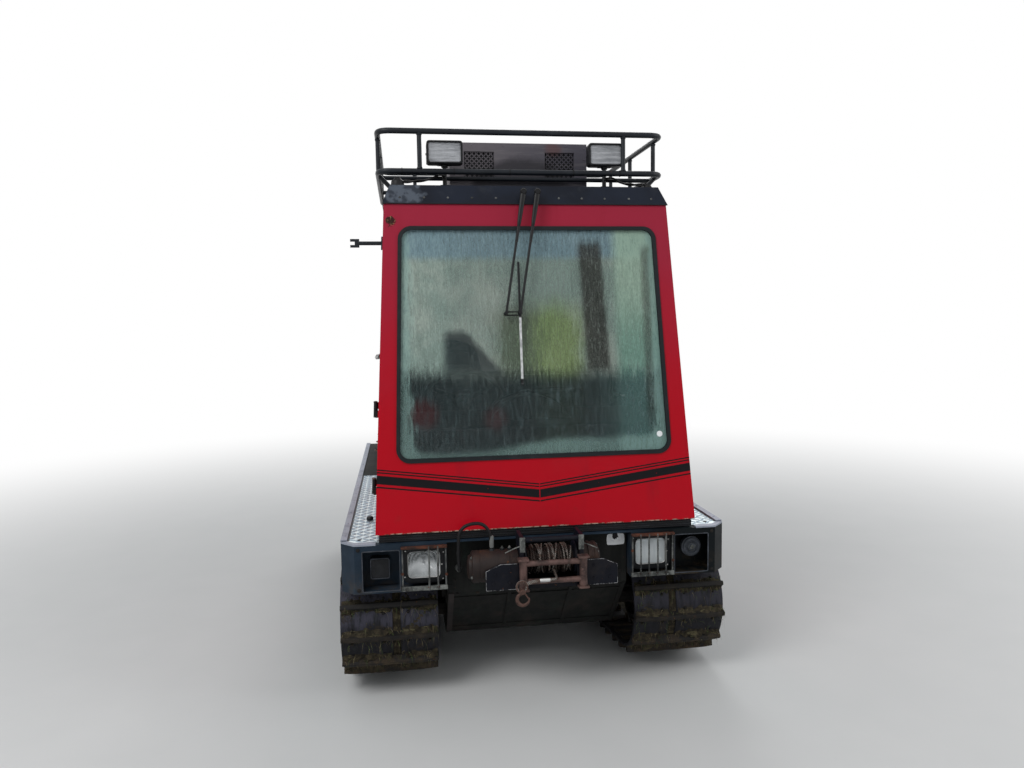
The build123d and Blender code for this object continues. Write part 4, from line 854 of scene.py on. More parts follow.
mix_red_paint()
mix_roof()
mix_weathered_sheet()
mix_mud()
mix_rope("wire_rope", (0.055, 0.048, 0.045), (0.27, 0.25, 0.23), (0.09, 0.042, 0.024))
mix_rope("drum_rope", (0.01, 0.008, 0.008), (0.066, 0.052, 0.046), (0.034, 0.016, 0.011))
mix_lamp_reflector()
mix_screen_glass()
mix_wiper_blade()
for row in (
        ("base_paint", (0.0018, 0.002, 0.0038), 0.5, (0.018, 0.021, 0.034), 0.35, 0.15),
        ("post_brown", (0.036, 0.03, 0.03), 0.7, (0.075, 0.062, 0.058), 0.6, 0.15),
        ("engine_paint", (0.075, 0.08, 0.085), 0.5, (0.2, 0.19, 0.17), 0.6, 0.15),
        ("lamp_black", (0.008, 0.009, 0.011), 0.42, (0.07, 0.075, 0.085), 0.35, 0.0),
        ("rack_paint", (0.009, 0.012, 0.017), 0.4, (0.06, 0.065, 0.075), 0.25, 0.1),
        ("wiper_black", (0.0065, 0.007, 0.008), 0.42, (0.05, 0.05, 0.055), 0.2, 0.0),
        ("dash_plastic", (0.012, 0.013, 0.015), 0.62, (0.06, 0.062, 0.065), 0.3, 0.0),
        ("dark_lining", (0.017, 0.017, 0.017), 0.85, (0.06, 0.06, 0.055), 0.25, 0.0),
        ("inner_plastic", (0.17, 0.175, 0.17), 0.75, (0.2, 0.19, 0.17), 0.3, 0.0),
        ("wheel_grip", (0.016, 0.016, 0.018), 0.5, (0.2, 0.19, 0.17), 0.15, 0.0),
        ("motor_paint", (0.02, 0.013, 0.012), 0.55, (0.072, 0.036, 0.024), 0.9, 0.25),
):
    mix_painted(*row)
# The bumper's left side is darkened by a painted shade through left=.
mix_painted("black_paint", (0.019, 0.033, 0.052), 0.46, dust=(0.045, 0.062, 0.082), dusty=0.5, rust=0.1,
            low=0.46, left=(0.003, 0.0052, 0.0066), gloss=0.12)
mix_painted("horn_paint", (0.05, 0.057, 0.07), 0.42, dust=(0.18, 0.2, 0.24), dusty=0.5, scale=3.0)
mix_painted("gear_paint", (0.009, 0.0085, 0.0085), 0.65, dust=(0.055, 0.042, 0.028), dusty=0.6, rust=0.25,
            low=0.2)
mix_painted("wheel_paint", (0.022, 0.022, 0.023), 0.55, dust=(0.06, 0.045, 0.03), dusty=0.7, rust=0.3,
            low=0.15)
mix_label()
mix_hull()
mix_scraped()
mix_painted("bed_paint", (0.02, 0.022, 0.026), 0.48, dust=(0.1, 0.09, 0.075), dusty=0.5, rust=0.2, low=0.62)
mix_painted("winch_paint", (0.005, 0.0062, 0.0115), 0.5, dust=(0.045, 0.036, 0.032), dusty=0.4, rust=0.22,
            gloss=0.14)
mix_rust("rust", (0.034, 0.023, 0.021), (0.14, 0.084, 0.074), rough=0.5)
mix_rust("pale_rust", (0.045, 0.048, 0.046), (0.27, 0.28, 0.265), metal=0.3)
mix_rust("orange_rust", (0.018, 0.011, 0.009), (0.135, 0.048, 0.028), rough=0.6)
mix_rust("dark_rod", (0.03, 0.031, 0.031), (0.17, 0.175, 0.17), metal=0.4)
mix_rust("hook_rust", (0.04, 0.025, 0.021), (0.11, 0.062, 0.05), rough=0.55)
mix_bare_metal("checker_plate", (0.8, 0.95, 1.0), 0.36, dirt=(0.42, 0.48, 0.54), dirty=0.12, metal=0.85)
# Treads a good deal darker than the plate: painted shade and dark reflections of the raised studs.
mix_bare_metal("tread_metal", (0.36, 0.46, 0.57), 0.4, dirty=0.2, metal=0.7)
mix_bare_metal("rail_metal", (0.33, 0.36, 0.43), 0.46, dirt=(0.075, 0.075, 0.085), dirty=0.3, metal=0.35,
               brushed=(4, 0.15, 4))
mix_bare_metal("bright_steel", (0.6, 0.6, 0.59), 0.35, dirty=0.4)
mix_track_rubber()
mix_rubber("tyre_rubber", (0.01, 0.01, 0.011), mud=0.45)
mix_rubber("seal_rubber", (0.006, 0.008, 0.01), dust=0.2)
mix_rubber("cable_rubber", (0.004, 0.004, 0.0048), 0.5, 0.15)
mix_clear_glass("door_glass", (0.16, 0.22, 0.185), 0.52, 0.35)
mix_clear_glass("head_lens", (0.92, 0.98, 1.0), 0.06, 0.14, left=0.34)
mix_reeded_glass()
mix_painted("tail_lens", (0.36, 0.01, 0.012), 0.22, dusty=0.25, coat=0.5)
mix_cloth("seat_cloth", (0.022, 0.027, 0.032))
mix_grass("fresh_grass", (0.018, 0.034, 0.01), (0.075, 0.105, 0.03))
mix_grass("straw", (0.055, 0.045, 0.026), (0.22, 0.185, 0.105))

for paint, names in {
        "red_paint": "cab_front cab_rear cab_sides door_left door_right",
        "black_paint": "front_bumper",
        "base_paint": "cab_base",
        "hull_paint": "hull_tub rear_fenders",
        "gear_paint": "drive_sprockets wheel_arms",
        "engine_paint": "engine_block",
        "checker_plate": "side_decks",
        "rail_metal": "deck_rails",
        "lamp_black": "headlamps work_lamps",
        "horn_paint": "horn",
        "pale_rust": "headlamp_guards",
        "seal_rubber": "door_gasket_left door_gasket_right window_gaskets",
        "door_glass": "door_glass_left door_glass_right",
        "screen_glass": "window_glass",
        "head_lens": "lamp_lenses",
        "roof_paint": "roof",
        "weathered_sheet": "roof_box",
        "rack_paint": "roof_rack mirror_bracket",
        "wiper_black": "wiper_arm_drive wiper_arm_follower",
        "wiper_blade": "wiper_blade",
        "winch_paint": "winch_frame",
        "wire_rope": "winch_drum",
        "motor_paint": "winch_motor",
        "cable_rubber": "winch_cable",
        "rust": "fairlead",
        "hook_rust": "winch_hook",
        "seat_cloth": "driver_seat passenger_seat",
        "dash_plastic": "dashboard",
        "wheel_grip": "steering_wheel",
        "bed_paint": "load_bed tailgate",
        "tail_lens": "tail_lamps",
        "track_rubber": "track_left track_right",
        "wheel_paint": "wheel_rims",
        "tyre_rubber": "wheel_tyres",
}.items():
    dress(names.split(), paint)

aim_camera((-0.544, -4.289, 1.58), 0.142, -0.085, -0.015, 27.14)
lay_floor()
light_studio()


# Running gear

def loop_line(extra, count):
    """Belt line as a tight loop: for each direction d the farthest point of the pulleys, c + (r + extra) d,
    spaced evenly by length. Returns places, ways along and ways out, each (count, 3) with x at 0."""
    angle = np.linspace(0, -TURN, 7201)[:-1] - math.pi / 2
    d = np.stack([np.cos(angle), np.sin(angle)], 1)
    best = np.argmax(d @ PULLEYS[:, :2].T + PULLEYS[:, 2], 1)
    hull = PULLEYS[best, :2] + (PULLEYS[best, 2:] + extra) * d
    hull = np.vstack([hull, hull[:1]])
    length = np.concatenate([[0], np.cumsum(np.linalg.norm(np.diff(hull, axis=0), axis=1))])
    s = np.linspace(0, length[-1], count, endpoint=False)
    line = np.stack([np.interp(s, length, hull[:, k]) for k in (0, 1)], 1)
    along = unit(np.roll(line, -1, 0) - np.roll(line, 1, 0))
    out = np.stack([-along[:, 1], along[:, 0]], 1)
    return *(np.insert(v, 0, 0.0, axis=1) for v in (line, along, out)), length[-1]


def build_track(side):
    """One track: two ribbed belts, spring-steel bars with turned ends, bolts, guide horns, mud and grass."""
    line, along, out, length = loop_line(0.014, 520)
    if out[0, 2] > 0:
        out = -out
    bars = round(length / BAR_PITCH)
    shapes = Marked()
    rng = np.random.default_rng(11 + side)
    s = np.arange(len(line))[:, None] / len(line) * bars
    ledge = np.clip((np.abs((s % 1.0) - 0.5) * 2 - 0.5) / 0.38, 0, 1) ** 1.5
    for low, high in ((0.42, 0.576), (0.608, 0.82)):
        half, mid = (high - low) / 2, (high + low) / 2
        edge = rounded([(-half, -0.014), (half, -0.014), (half, 0.0), (-half, 0.0)], 0.004, 3, True)
        wall = line[:, None] + edge[None, :, 1:] * out[:, None]
        wall[..., 0] += mid + edge[None, :, 0]
        shapes.add(0, patch(wall, wrap_u=True, wrap_v=True))
        cols = np.linspace(-half + 0.006, half - 0.006, 15)
        rough = sum(np.sin(cols[None] * k + s * q + rng.uniform(0, 6)) for k, q in
                    ((47, 5.1), (83, 9.7), (131, 21.3), (29, 3.3), (190, 33.0)))
        clump = np.sin(cols[None] * 31 + s * 2.3 + 1.0) * np.sin(cols[None] * 17 - s * 1.7) * 0.5 + 0.5
        pile = ((0.012 + 0.013 * clump) * ledge + 0.004 * rough * ledge ** 0.5 + 0.0012 * rough
                - 0.003 * (1 - ledge))
        pile = np.clip(pile * np.clip((half - np.abs(cols[None])) / 0.02, 0, 1) ** 0.5, -0.002, 0.026)
        soil = line[:, None] + out[:, None] * pile[..., None]
        soil[..., 0] += mid + cols[None]
        under = np.repeat((line - out * 0.003)[:, None], 2, 1)
        under[..., 0] += mid + cols[[-1, 0]]
        rings = np.concatenate([soil, under], 1)
        shapes.add(1, patch(rings, wrap_u=True, wrap_v=True))
    web = np.linspace(0.572, 0.612, 9)
    sunk = (-0.0085 + 0.003 * np.sin(web[None] * 400 + s * 3.1) * np.sin(s * 9.7 + web[None] * 130)
            + 0.006 * ledge)
    over = line[:, None] + out[:, None] * sunk[..., None]
    over[..., 0] += web[None]
    below = np.repeat((line - out * 0.0145)[:, None], 2, 1)
    below[..., 0] += web[[-1, 0]]
    shapes.add(1, patch(np.concatenate([over, below], 1), wrap_u=True, wrap_v=True))
    stops = np.linspace(0, len(line), bars, endpoint=False).astype(int)
    here, way, up = line[stops], along[stops], out[stops]
    section = rounded(mm(-17.5, 0, 17.5, 0, 12.5, 11, 9.5, 28.5, -9.5, 28.5, -12.5, 11), 0.0018, 3, True)
    sag = np.linspace(-1, 1, 13)
    lift = 1 - 0.16 * sag ** 6
    bar = np.stack([np.column_stack([np.full(len(section), TRACK_MID + a * 0.199), section * b])
                    for a, b in zip(sag, lift)])
    shapes.add(2, carried(patch(bar, wrap_v=True, ends=True), here, X, way, up))
    for x0, x1 in ((0.44, 0.56), (0.63, 0.79)):
        shapes.add(2, carried(box(x0, x1, -0.026, 0.026, -0.0185, -0.0135, 0.0012), here, X, way, up))
    horn = prism(mm(-18, -16, 18, -16, 7, -40, -7, -40), "x", 0.0, 0.01, 0.002)
    for x in (0.5535, 0.6765):
        shapes.add(2, carried(copies(horn, [(x, 0, 0)]), here, X, way, up))
    heads = np.array([(x, y, 0.0) for x in (0.455, 0.545, 0.645, 0.775) for y in (-0.03, 0.03)])
    shapes.add(2, carried(domes(heads, Z, 0.0065, 0.007, 8), here, X, way, up))
    blades = 6500
    ends = stops[rng.integers(0, bars, blades)]
    spot = (ends + rng.normal(0, 2.2, blades).astype(int)) % len(line)
    x = rng.uniform(0.43, 0.812, blades)
    x = np.where(rng.random(blades) < 0.5, x, TRACK_MID + 0.19 * np.sin(x * 97.0 + ends * 1.3))
    reach = (rng.gamma(2.4, 0.015, blades).clip(0.01, 0.095)
             * np.interp(out[spot, 2], [-1.0, -0.75, -0.35, 1.0], [0.16, 0.25, 1.0, 1.0]))
    lean = rng.normal(0, 0.55, (blades, 2))
    root = line[spot] + np.column_stack([x, np.zeros((blades, 2))]) + out[spot] * 0.01
    grow = unit(out[spot] * 0.45 + along[spot] * lean[:, :1]
                + np.column_stack([lean[:, 1], np.zeros((blades, 2))]))
    fall = grow * 0.35 + np.array([0, 0, -1.0])
    tip = root + unit(grow + np.array([0, 0, -0.35])) * reach[:, None] * 0.38
    end = tip + unit(fall) * reach[:, None] * 0.62
    wide = unit(np.cross(grow, (0.2, 0.3, 0.9))) * rng.uniform(0.0005, 0.0012, (blades, 1))
    edge = np.stack([-wide, wide, unit(np.cross(wide, grow)) * 0.0008], 1)
    stem = np.concatenate([root[:, None] + edge, tip[:, None] + edge * 0.8, end[:, None]], 1)
    stem[..., 0] = np.clip(stem[..., 0], 0.4215, 0.8185)
    stem[..., 1] = np.clip(stem[..., 1], -1.1945, 1.2635)
    stem[..., 2] = np.clip(stem[..., 2], 0.0015, 0.572)
    sides = np.array([(0, 1, 4, 3), (1, 2, 5, 4), (2, 0, 3, 5)])
    points = np.array([(3, 4, 6), (4, 5, 6), (5, 3, 6), (0, 2, 1)])
    kind = rng.random(blades) < 0.42
    for mark, chosen in ((3, kind), (4, ~kind)):
        group = stem[chosen]
        shift = np.arange(len(group))[:, None, None] * group.shape[1]
        shapes.add(mark, (group.reshape(-1, 3),
                          [(c[None] + shift).reshape(-1, c.shape[1]) for c in (sides, points)]))
    if side < 0:
        shapes = [(flipped(shape), mark) for shape, mark in shapes]
    name = "left" if side > 0 else "right"
    piece(f"track_{name}_dressed", shapes, ["track_rubber", "mud", "gear_paint", "fresh_grass", "straw"],
          [f"track_{name}"])


build_track(1)
build_track(-1)


def build_wheels():
    """Round road wheels with grooved tyres, dished discs, hubs and bolts, and the bare idlers."""
    rubber, steel = [], []
    tread = mm(114, -50, 134, -51.5, 143.5, -48, 147, -40, 147, -20, 143.5, -17, 143.5, -9, 147.5, -6,
               147.5, 6, 143.5, 9, 143.5, 17, 147, 20, 147, 40, 143.5, 48, 134, 51.5, 114, 50, 112, 30,
               112, -30)
    dish = mm(20, -46, 43, -45, 46, -40, 47, -16, 60, -10, 90, -12, 98, -22, 113.5, -23, 113.5, -34,
              116.5, -34, 116.5, 34, 113.5, 34, 113.5, 23, 98, 22, 90, 0, 60, 6, 47, 14, 45, 36, 40, 42,
              0, 45)
    hoop = mm(0, -45, 44, -45, 46, -6, 163, -6, 164.5, -50, 174, -51, 175.5, -48, 175.5, 48, 174, 51,
              164.5, 50, 163, 6, 46, 6, 44, 40, 0, 45)
    angle = around(5)
    studs = circle((0.008, 0, 0), 0.072, angle)
    for y in np.linspace(PULLEYS[1, 0], PULLEYS[2, 0], 4):
        centre = (TRACK_MID, y, PULLEYS[1, 1])
        rubber.append(lathe(tread, centre, X, 56, closed=True))
        steel.append(lathe(dish, centre, X, 48))
        steel += bolts(studs + centre, X, 0.009, 0.009)
        steel.append(lathe(mm(19, -215, 19, -40, 0, -40), centre, X, 20))
    centre = (TRACK_MID, *PULLEYS[3, :2])
    steel.append(lathe(hoop, centre, X, 60))
    steel += bolts(studs * (1.2, 1, 1) + centre, X, 0.009, 0.009)
    steel.append(lathe(mm(19, -215, 19, -40, 0, -40), centre, X, 20))
    piece("road_wheel_tyres", rubber + [flipped(s) for s in rubber], "tyre_rubber",
          ["wheel_tyres"])
    piece("road_wheel_discs", steel + [flipped(s) for s in steel], "wheel_paint",
          ["wheel_rims"])


build_wheels()

# Lamps

def bowl(outline, centre, face_y, depth, steps=12, least=0.06, shell=0.0015):
    """Reflector: the outline scaled by s about its centre lies back by depth (1 - s^2), in a thin shell."""
    s = np.linspace(1.0, least, steps)[:, None, None]
    flat = np.asarray(centre) + (outline - centre)[None] * s
    back = np.broadcast_to(face_y + depth * (1 - s ** 2), flat.shape[:2] + (1,))
    front = np.concatenate([flat[..., :1], back, flat[..., 1:]], 2)
    behind = (front + (0, shell, 0))[::-1]
    return patch(np.concatenate([front, behind]), wrap_u=True, wrap_v=True)


def lens_shell(outline, centre, face_y, bulge, thick, steps=9):
    """Lens: the outline scaled by s comes forward by bulge (1 - s^2), with a flat back."""
    s = np.linspace(0.02, 1.0, steps)[:, None, None]
    flat = np.asarray(centre) + (outline - centre)[None] * s
    front_y = np.broadcast_to(face_y - bulge * (1 - s ** 2), flat.shape[:2] + (1,))
    front = np.concatenate([flat[..., :1], front_y, flat[..., 1:]], 2)
    back = front[::-1].copy()
    back[..., 1] = face_y + thick
    return patch(np.concatenate([front, back]), wrap_v=True, ends=True)


def stacked(*rows):
    """Outlines joined in a ring, each at its own y."""
    return patch(np.stack([np.insert(outline, 1, y, axis=1) for outline, y in rows]), wrap_u=True,
                 wrap_v=True)


def rim(outline, y0, y1, wide, bevel=0.0015):
    """Frame about an opening: the outline and the same drawn out by its width."""
    rows = [(0, y1), (0, y0 + bevel), (-bevel, y0), (-wide + bevel, y0), (-wide, y0 + bevel), (-wide, y1)]
    return stacked(*((drawn_in(outline, inset) if inset else outline, y) for inset, y in rows))


def build_headlamps():
    """Rounded-square headlamps: black shell and carrier, plated rim, silvered bowl, bulb and domed glass."""
    shells, bowls, glasses = Marked(), Marked(), []
    for x in (-LAMP_X, LAMP_X):
        centre, glass = (x, LAMP_Z), (x, LAMP_Z + 0.004)
        outer = pad_outline(*centre, 0.15, 0.134, 0.024, 7)
        inner = pad_outline(*glass, 0.127, 0.106, 0.02, 7)
        back = pad_outline(*centre, 0.1, 0.09, 0.02, 7)
        carrier = box(x - 0.058, x + 0.058, -1.153, -1.148, LAMP_Z - 0.02, LAMP_Z + 0.02)
        shell = ((back, -1.152), (outer, -1.176), (outer, -1.206), (inner, -1.206), (inner, -1.15))
        shells.add(0, stacked(*shell), carrier)
        shells.add(1, rim(inner, -1.2145, -1.203, 0.003))
        bowls.add(0, bowl(inner, glass, -1.205, 0.046, 18))
        bulb = mm(0, -30, 4, -29, 6.5, -24, 6.5, -4, 10, 0, 10, 12, 0, 14)
        bowls.add(0, lathe(bulb, (x, -1.17, LAMP_Z), Y, 18))
        shells.add(0, rim(pad_outline(*glass, 0.1335, 0.1125, 0.022, 7), -1.212, -1.2, 0.0225))
        screws = mm(-78, -46, 79, 50, -74, 62, 76, -60, 72, 0)
        shells.add(1, domes([(x + a, -1.212, LAMP_Z + b) for a, b in screws], radius=0.0032, height=0.002,
                            turns=8))
        glasses.append(lens_shell(pad_outline(*glass, 0.1255, 0.1045, 0.019, 7), glass, -1.2115, 0.0075,
                                  0.004))
    piece("headlamp_shells", shells, ["lamp_black", "bright_steel"], ["headlamps"])
    piece("headlamp_bowls", bowls, "reflector", ["headlamps"])
    piece("headlamp_glass", glasses, "head_lens", ["lamp_lenses"])


def build_guards():
    """Welded lamp guards: thin round uprights on a flat frame, rusty above and bright where paint is off."""
    rusty, pale, dark = [], [], []
    low, high = LAMP_Z - 0.091, LAMP_Z + 0.091
    for side, offsets in ((-1, (0.018, 0.055)), (1, (-0.055, -0.018, 0.018, 0.055))):
        x = side * LAMP_X
        rusty.append(box(x - 0.092, x + 0.092, -1.258, -1.241, high - 0.01, high, 0.0015))
        pale.append(box(x - 0.092, x + 0.092, -1.254, -1.241, low, low + 0.0165, 0.0015))
        for edge in (-0.0865, 0.0865):
            dark.append(box(x + edge - 0.003, x + edge + 0.003, -1.2475, -1.241, low + 0.011, high - 0.009,
                            0.001))
        for k, off in enumerate(offsets):
            bow = 0.0012 * (-1) ** k
            rod = [(x + off, -1.2555, low + 0.001), (x + off + bow, -1.2565, LAMP_Z - 0.03),
                   (x + off + bow, -1.2565, LAMP_Z + 0.04), (x + off, -1.2555, high - 0.001)]
            dark.append(tube(rod, 0.0036, Y, 0.02, sides=10))
            blob = lathe(mm(0, -3, 4, -2, 5.5, 1, 4.5, 4, 0, 5), (0, 0, 0), Z, 10)
            rusty.append(copies(blob, [(x + off, -1.254, low + 0.012), (x + off, -1.254, high - 0.012)]))
        rusty += bolts([(x - 0.088, -1.2475, LAMP_Z + 0.02 * side), (x + 0.088, -1.2475, LAMP_Z - 0.03)],
                       radius=0.0045, height=0.004)
    piece("guard_top", rusty, "orange_rust", ["headlamp_guards"])
    piece("guard_rods", dark, "dark_rod", ["headlamp_guards"])
    piece("guard_frame", pale, "pale_rust", ["headlamp_guards"])


def build_horn():
    """Round horn: pressed disc with stepped rings, a slotted middle and its centre bolt."""
    face = mm(0, -41, 8, -41, 9, -37, 18, -36, 20, -32, 27, -32, 29, -36, 36, -36, 38, -31, 43, -30,
              43.5, -26, 43.5, -10, 30, 0, 0, 0)
    centre = (0.662, -1.1665, 0.597)
    slots = circle((0, -0.0325, 0), 0.0232, np.arange(12) * TURN / 12, X, Z) + centre
    shapes = Marked()
    shapes.add(0, lathe(face, centre, Y, 44), domes(slots, radius=0.003, height=0.0025))
    shapes.add(1, *bolts([np.add(centre, (0, -0.041, 0))], radius=0.007, height=0.004),
               lathe(mm(16, -37, 16.5, -38.5, 17.5, -37), centre, Y, 30, closed=True))
    shapes.add(0, box(0.644, 0.68, -1.1675, -1.148, 0.585, 0.609))
    piece("horn_dressed", shapes, ["horn_paint", "pale_rust"], ["horn"])


def build_work_lamps():
    """Rectangular work lamps on stems: ribbed bodies, bezels and reeded glass."""
    shells, bowls, glasses = Marked(), Marked(), []
    for x in WORK_LAMPS_X:
        centre = (x, WORK_LAMP_Z)
        outer = pad_outline(*centre, 0.156, 0.099, 0.014)
        inner = pad_outline(*centre, 0.139, 0.082, 0.01)
        back = pad_outline(*centre, 0.112, 0.062, 0.014)
        front = drawn_in(outer, 0.003)
        shells.add(0, stacked((back, -0.8235), (outer, -0.845), (outer, -0.893), (front, -0.8965),
                              (inner, -0.8965), (inner, -0.83)))
        fins = box(x - 0.06, x + 0.06, -0.84, -0.824, 0, 0.003, 0.001)
        shells.add(0, copies(fins, [(0, 0, z) for z in np.linspace(2.262, 2.328, 6)]))
        bowls.add(0, bowl(inner, centre, -0.889, 0.045, 10),
                  lathe(mm(0, -50, 4, -50, 4, 50, 0, 50), (x, -0.862, WORK_LAMP_Z), X, 12))
        glasses.append(lens_shell(pad_outline(*centre, 0.1375, 0.0805, 0.01), centre, -0.8915, 0.003, 0.004))
        shells.add(0, lathe(mm(9, 2134.5, 9, 2247.5, 0, 2247.5), (x, -0.86, 0), Z, 16),
                   lathe(mm(13, 2236, 15, 2239, 15, 2246.5, 0, 2247.5), (x, -0.86, 0), Z, 6),
                   box(x - 0.0215, x + 0.0215, -0.8815, -0.8385, 2.1345, 2.16, 0.003),
                   box(x - 0.03, x + 0.03, -0.872, -0.848, 2.244, 2.248, 0.001))
        for end in (-1, 1):
            ear = x + end * 0.0765
            shells.add(0, box(ear - 0.002, ear + 0.002, -0.87, -0.85, 2.25, 2.3, 0.001),
                       *bolts([(x + end * 0.0775, -0.86, 2.292)], (end, 0, 0), 0.005, 0.0035))
    piece("work_lamp_bodies", shells, "lamp_black", ["work_lamps"])
    piece("work_lamp_bowls", bowls, "reflector", ["work_lamps"])
    piece("work_lamp_glass", glasses, "work_lens", ["lamp_lenses"])


build_headlamps()
build_guards()
build_horn()
build_work_lamps()


# Winch

def round_along(profile, z=WINCH_Z, turns=48):
    """Rows of radius and place across the nose, turned about the winch's axis."""
    return lathe(profile, (0, WINCH_Y, z), X, turns)


def build_drum():
    """Drum with its flanges, one tidy layer of rope in a helix and loose wraps crossing over it."""
    start, end = WINCH_X - 0.108, WINCH_X + 0.108
    core = [(0.0, WINCH_X - 0.125), (0.0235, WINCH_X - 0.125), (0.0235, start), (0.064, start),
            (0.066, start + 0.002), (0.066, start + 0.008), (0.062, start + 0.01), (0.038, start + 0.01),
            (0.038, end - 0.01), (0.062, end - 0.01), (0.066, end - 0.008), (0.066, end - 0.002),
            (0.064, end), (0.0235, end), (0.0235, WINCH_X + 0.125), (0.0, WINCH_X + 0.125)]
    shapes = Marked()
    shapes.add(0, round_along(core))

    def wraps(turns, radius, x0, x1, sway, thick, phase, steps=30):
        """Helix: x runs from end to end with a sway, the angle goes round, the radius is steady."""
        t = np.linspace(0, 1, int(turns * steps))
        angle = TURN * turns * t + phase
        x = x0 + (x1 - x0) * t + sway * np.sin(angle * 0.5 + phase)
        r = radius + 0.0006 * np.sin(angle * 1.7)
        line = np.stack([x, WINCH_Y + r * np.cos(angle), WINCH_Z + r * np.sin(angle)], 1)
        return sweep(line, ring(thick, 7), up=X)

    shapes.add(1, wraps(19, 0.0435, start + 0.016, end - 0.016, 0.0, 0.005, 0.0),
               wraps(9, 0.0525, start + 0.02, end - 0.03, 0.006, 0.0044, 1.0))
    shapes.add(2, wraps(5, 0.056, end - 0.024, start + 0.04, 0.014, 0.0034, 2.0),
               wraps(6, 0.0575, start + 0.026, end - 0.022, 0.018, 0.0026, 4.0))
    piece("winch_drum_wound", shapes, ["winch_paint", "drum_rope", "wire_rope"], ["winch_drum"],
          body="winch_drum")


def build_motor():
    """Winch motor and gear case: stepped cans with bands, through bolts, terminals and a clutch knob."""
    z = WINCH_Z - 0.018
    can = mm(0, -306, 30, -306, 46, -302, 50, -292, 58.5, -290, 62, -287, 63.5, -282, 63.5, -262, 62, -260,
             62, -256, 63.5, -254, 63.5, -142, 61.5, -140, 61.5, -135, 63.5, -133, 63.5, -106, 60, -102,
             0, -102)
    shapes = Marked()
    shapes.add(0, round_along(can, z))
    angle = np.arange(4) * TURN / 4 + 0.6
    shapes.add(2, *bolts(circle((-0.2905, WINCH_Y, z), 0.054, angle), -X, 0.005, 0.005))
    band = [(0.063, -0.2), (0.0642, -0.199), (0.0642, -0.186), (0.063, -0.185)]
    shapes.add(0, lathe(band + [(0.06, -0.185), (0.06, -0.2)], (0, WINCH_Y, z), X, 48, closed=True))
    shapes.add(1, lathe(mm(11.2, 640, 11.2, 660, 9.5, 664, 0, 664), (-0.207, WINCH_Y, 0), Z, 16))
    for x in (-0.165, -0.135):
        shapes.add(1, lathe(mm(10, 645, 10, 663, 0, 664), (x, WINCH_Y, 0), Z, 14))
        shapes.add(2, lathe(mm(6, 662, 6, 667, 3, 668, 3, 671.5, 0, 671.5), (x, WINCH_Y, 0), Z, 6))
    gear = mm(0, 152, 59.5, 152, 59.5, 164, 56, 167, 56, 176, 59.5, 179, 59.5, 190, 56, 193, 56, 202, 59, 205,
              59, 214, 50, 222, 34, 225, 32, 230, 0, 230)
    shapes.add(0, round_along(gear))
    angle = np.arange(8) * TURN / 8 + 0.2
    shapes.add(2, *bolts(circle((0.2185, WINCH_Y, WINCH_Z), 0.05, angle), X, 0.0035, 0.004))
    piece("winch_motor_and_gear", shapes, ["motor_paint", "lamp_black", "pale_rust"],
          ["winch_motor"])


def build_frame_trim():
    """Scraped pale edges, end tabs and bolts on the winch's front plate and end plates."""
    y = -1.3648
    wings, tabs = [], []
    for side in (-1, 1):
        edge = np.array([(0.125, y, 0.5185), (0.264, y, 0.5185), (0.2645, y, 0.595), (0.206, y, 0.6205),
                         (0.128, y, 0.6205)])
        strut = mm(120, -1357.8, 690, 150, -1352, 678, 186, -1345, 660, width=3)
        wings.append(tube(edge * (side, 1, 1) + (WINCH_X, 0, 0), 0.0009, Y, 0.003, sides=6))
        tabs.append(box(*sorted(WINCH_X + side * v for v in (0.1075, 0.129)), -1.3592, -1.3572, 0.662, 0.7215,
                        0.0005))
        tabs.append(sweep(strut * (side, 1, 1) + (WINCH_X, 0, 0), ring(0.002, 6)))
    piece("winch_scraped_edges", wings, "scraped_edge")
    piece("winch_end_tabs", tabs, "pale_rust")
    bolted = ((0.235, 0.545), (0.17, 0.545), (0.17, 0.597), (0.228, 0.582))
    heads = [(WINCH_X + s * v, y + 0.0006, z) for s in (-1, 1) for v, z in bolted]
    shapes = bolts(heads, radius=0.0055, height=0.0045)
    piece("winch_bolts", shapes, "winch_paint")


def rope_line(name, points, radius, finish):
    """Curve through a smooth spline whose control points are the route's own points."""
    data = bpy.data.curves.new(name, "CURVE")
    data.dimensions = "3D"
    spline = data.splines.new("NURBS")
    spline.points.add(len(points) - 1)
    spline.points.foreach_set("co", np.column_stack([points, np.ones(len(points))]).ravel())
    spline.order_u = 3
    spline.use_endpoint_u = True
    data.resolution_u = 16
    data.bevel_depth = radius
    data.bevel_resolution = 3
    data.use_fill_caps = True
    data.materials.append(Finish.made[finish])
    made = place_object(name, data)
    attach(made, "chassis")
    return made


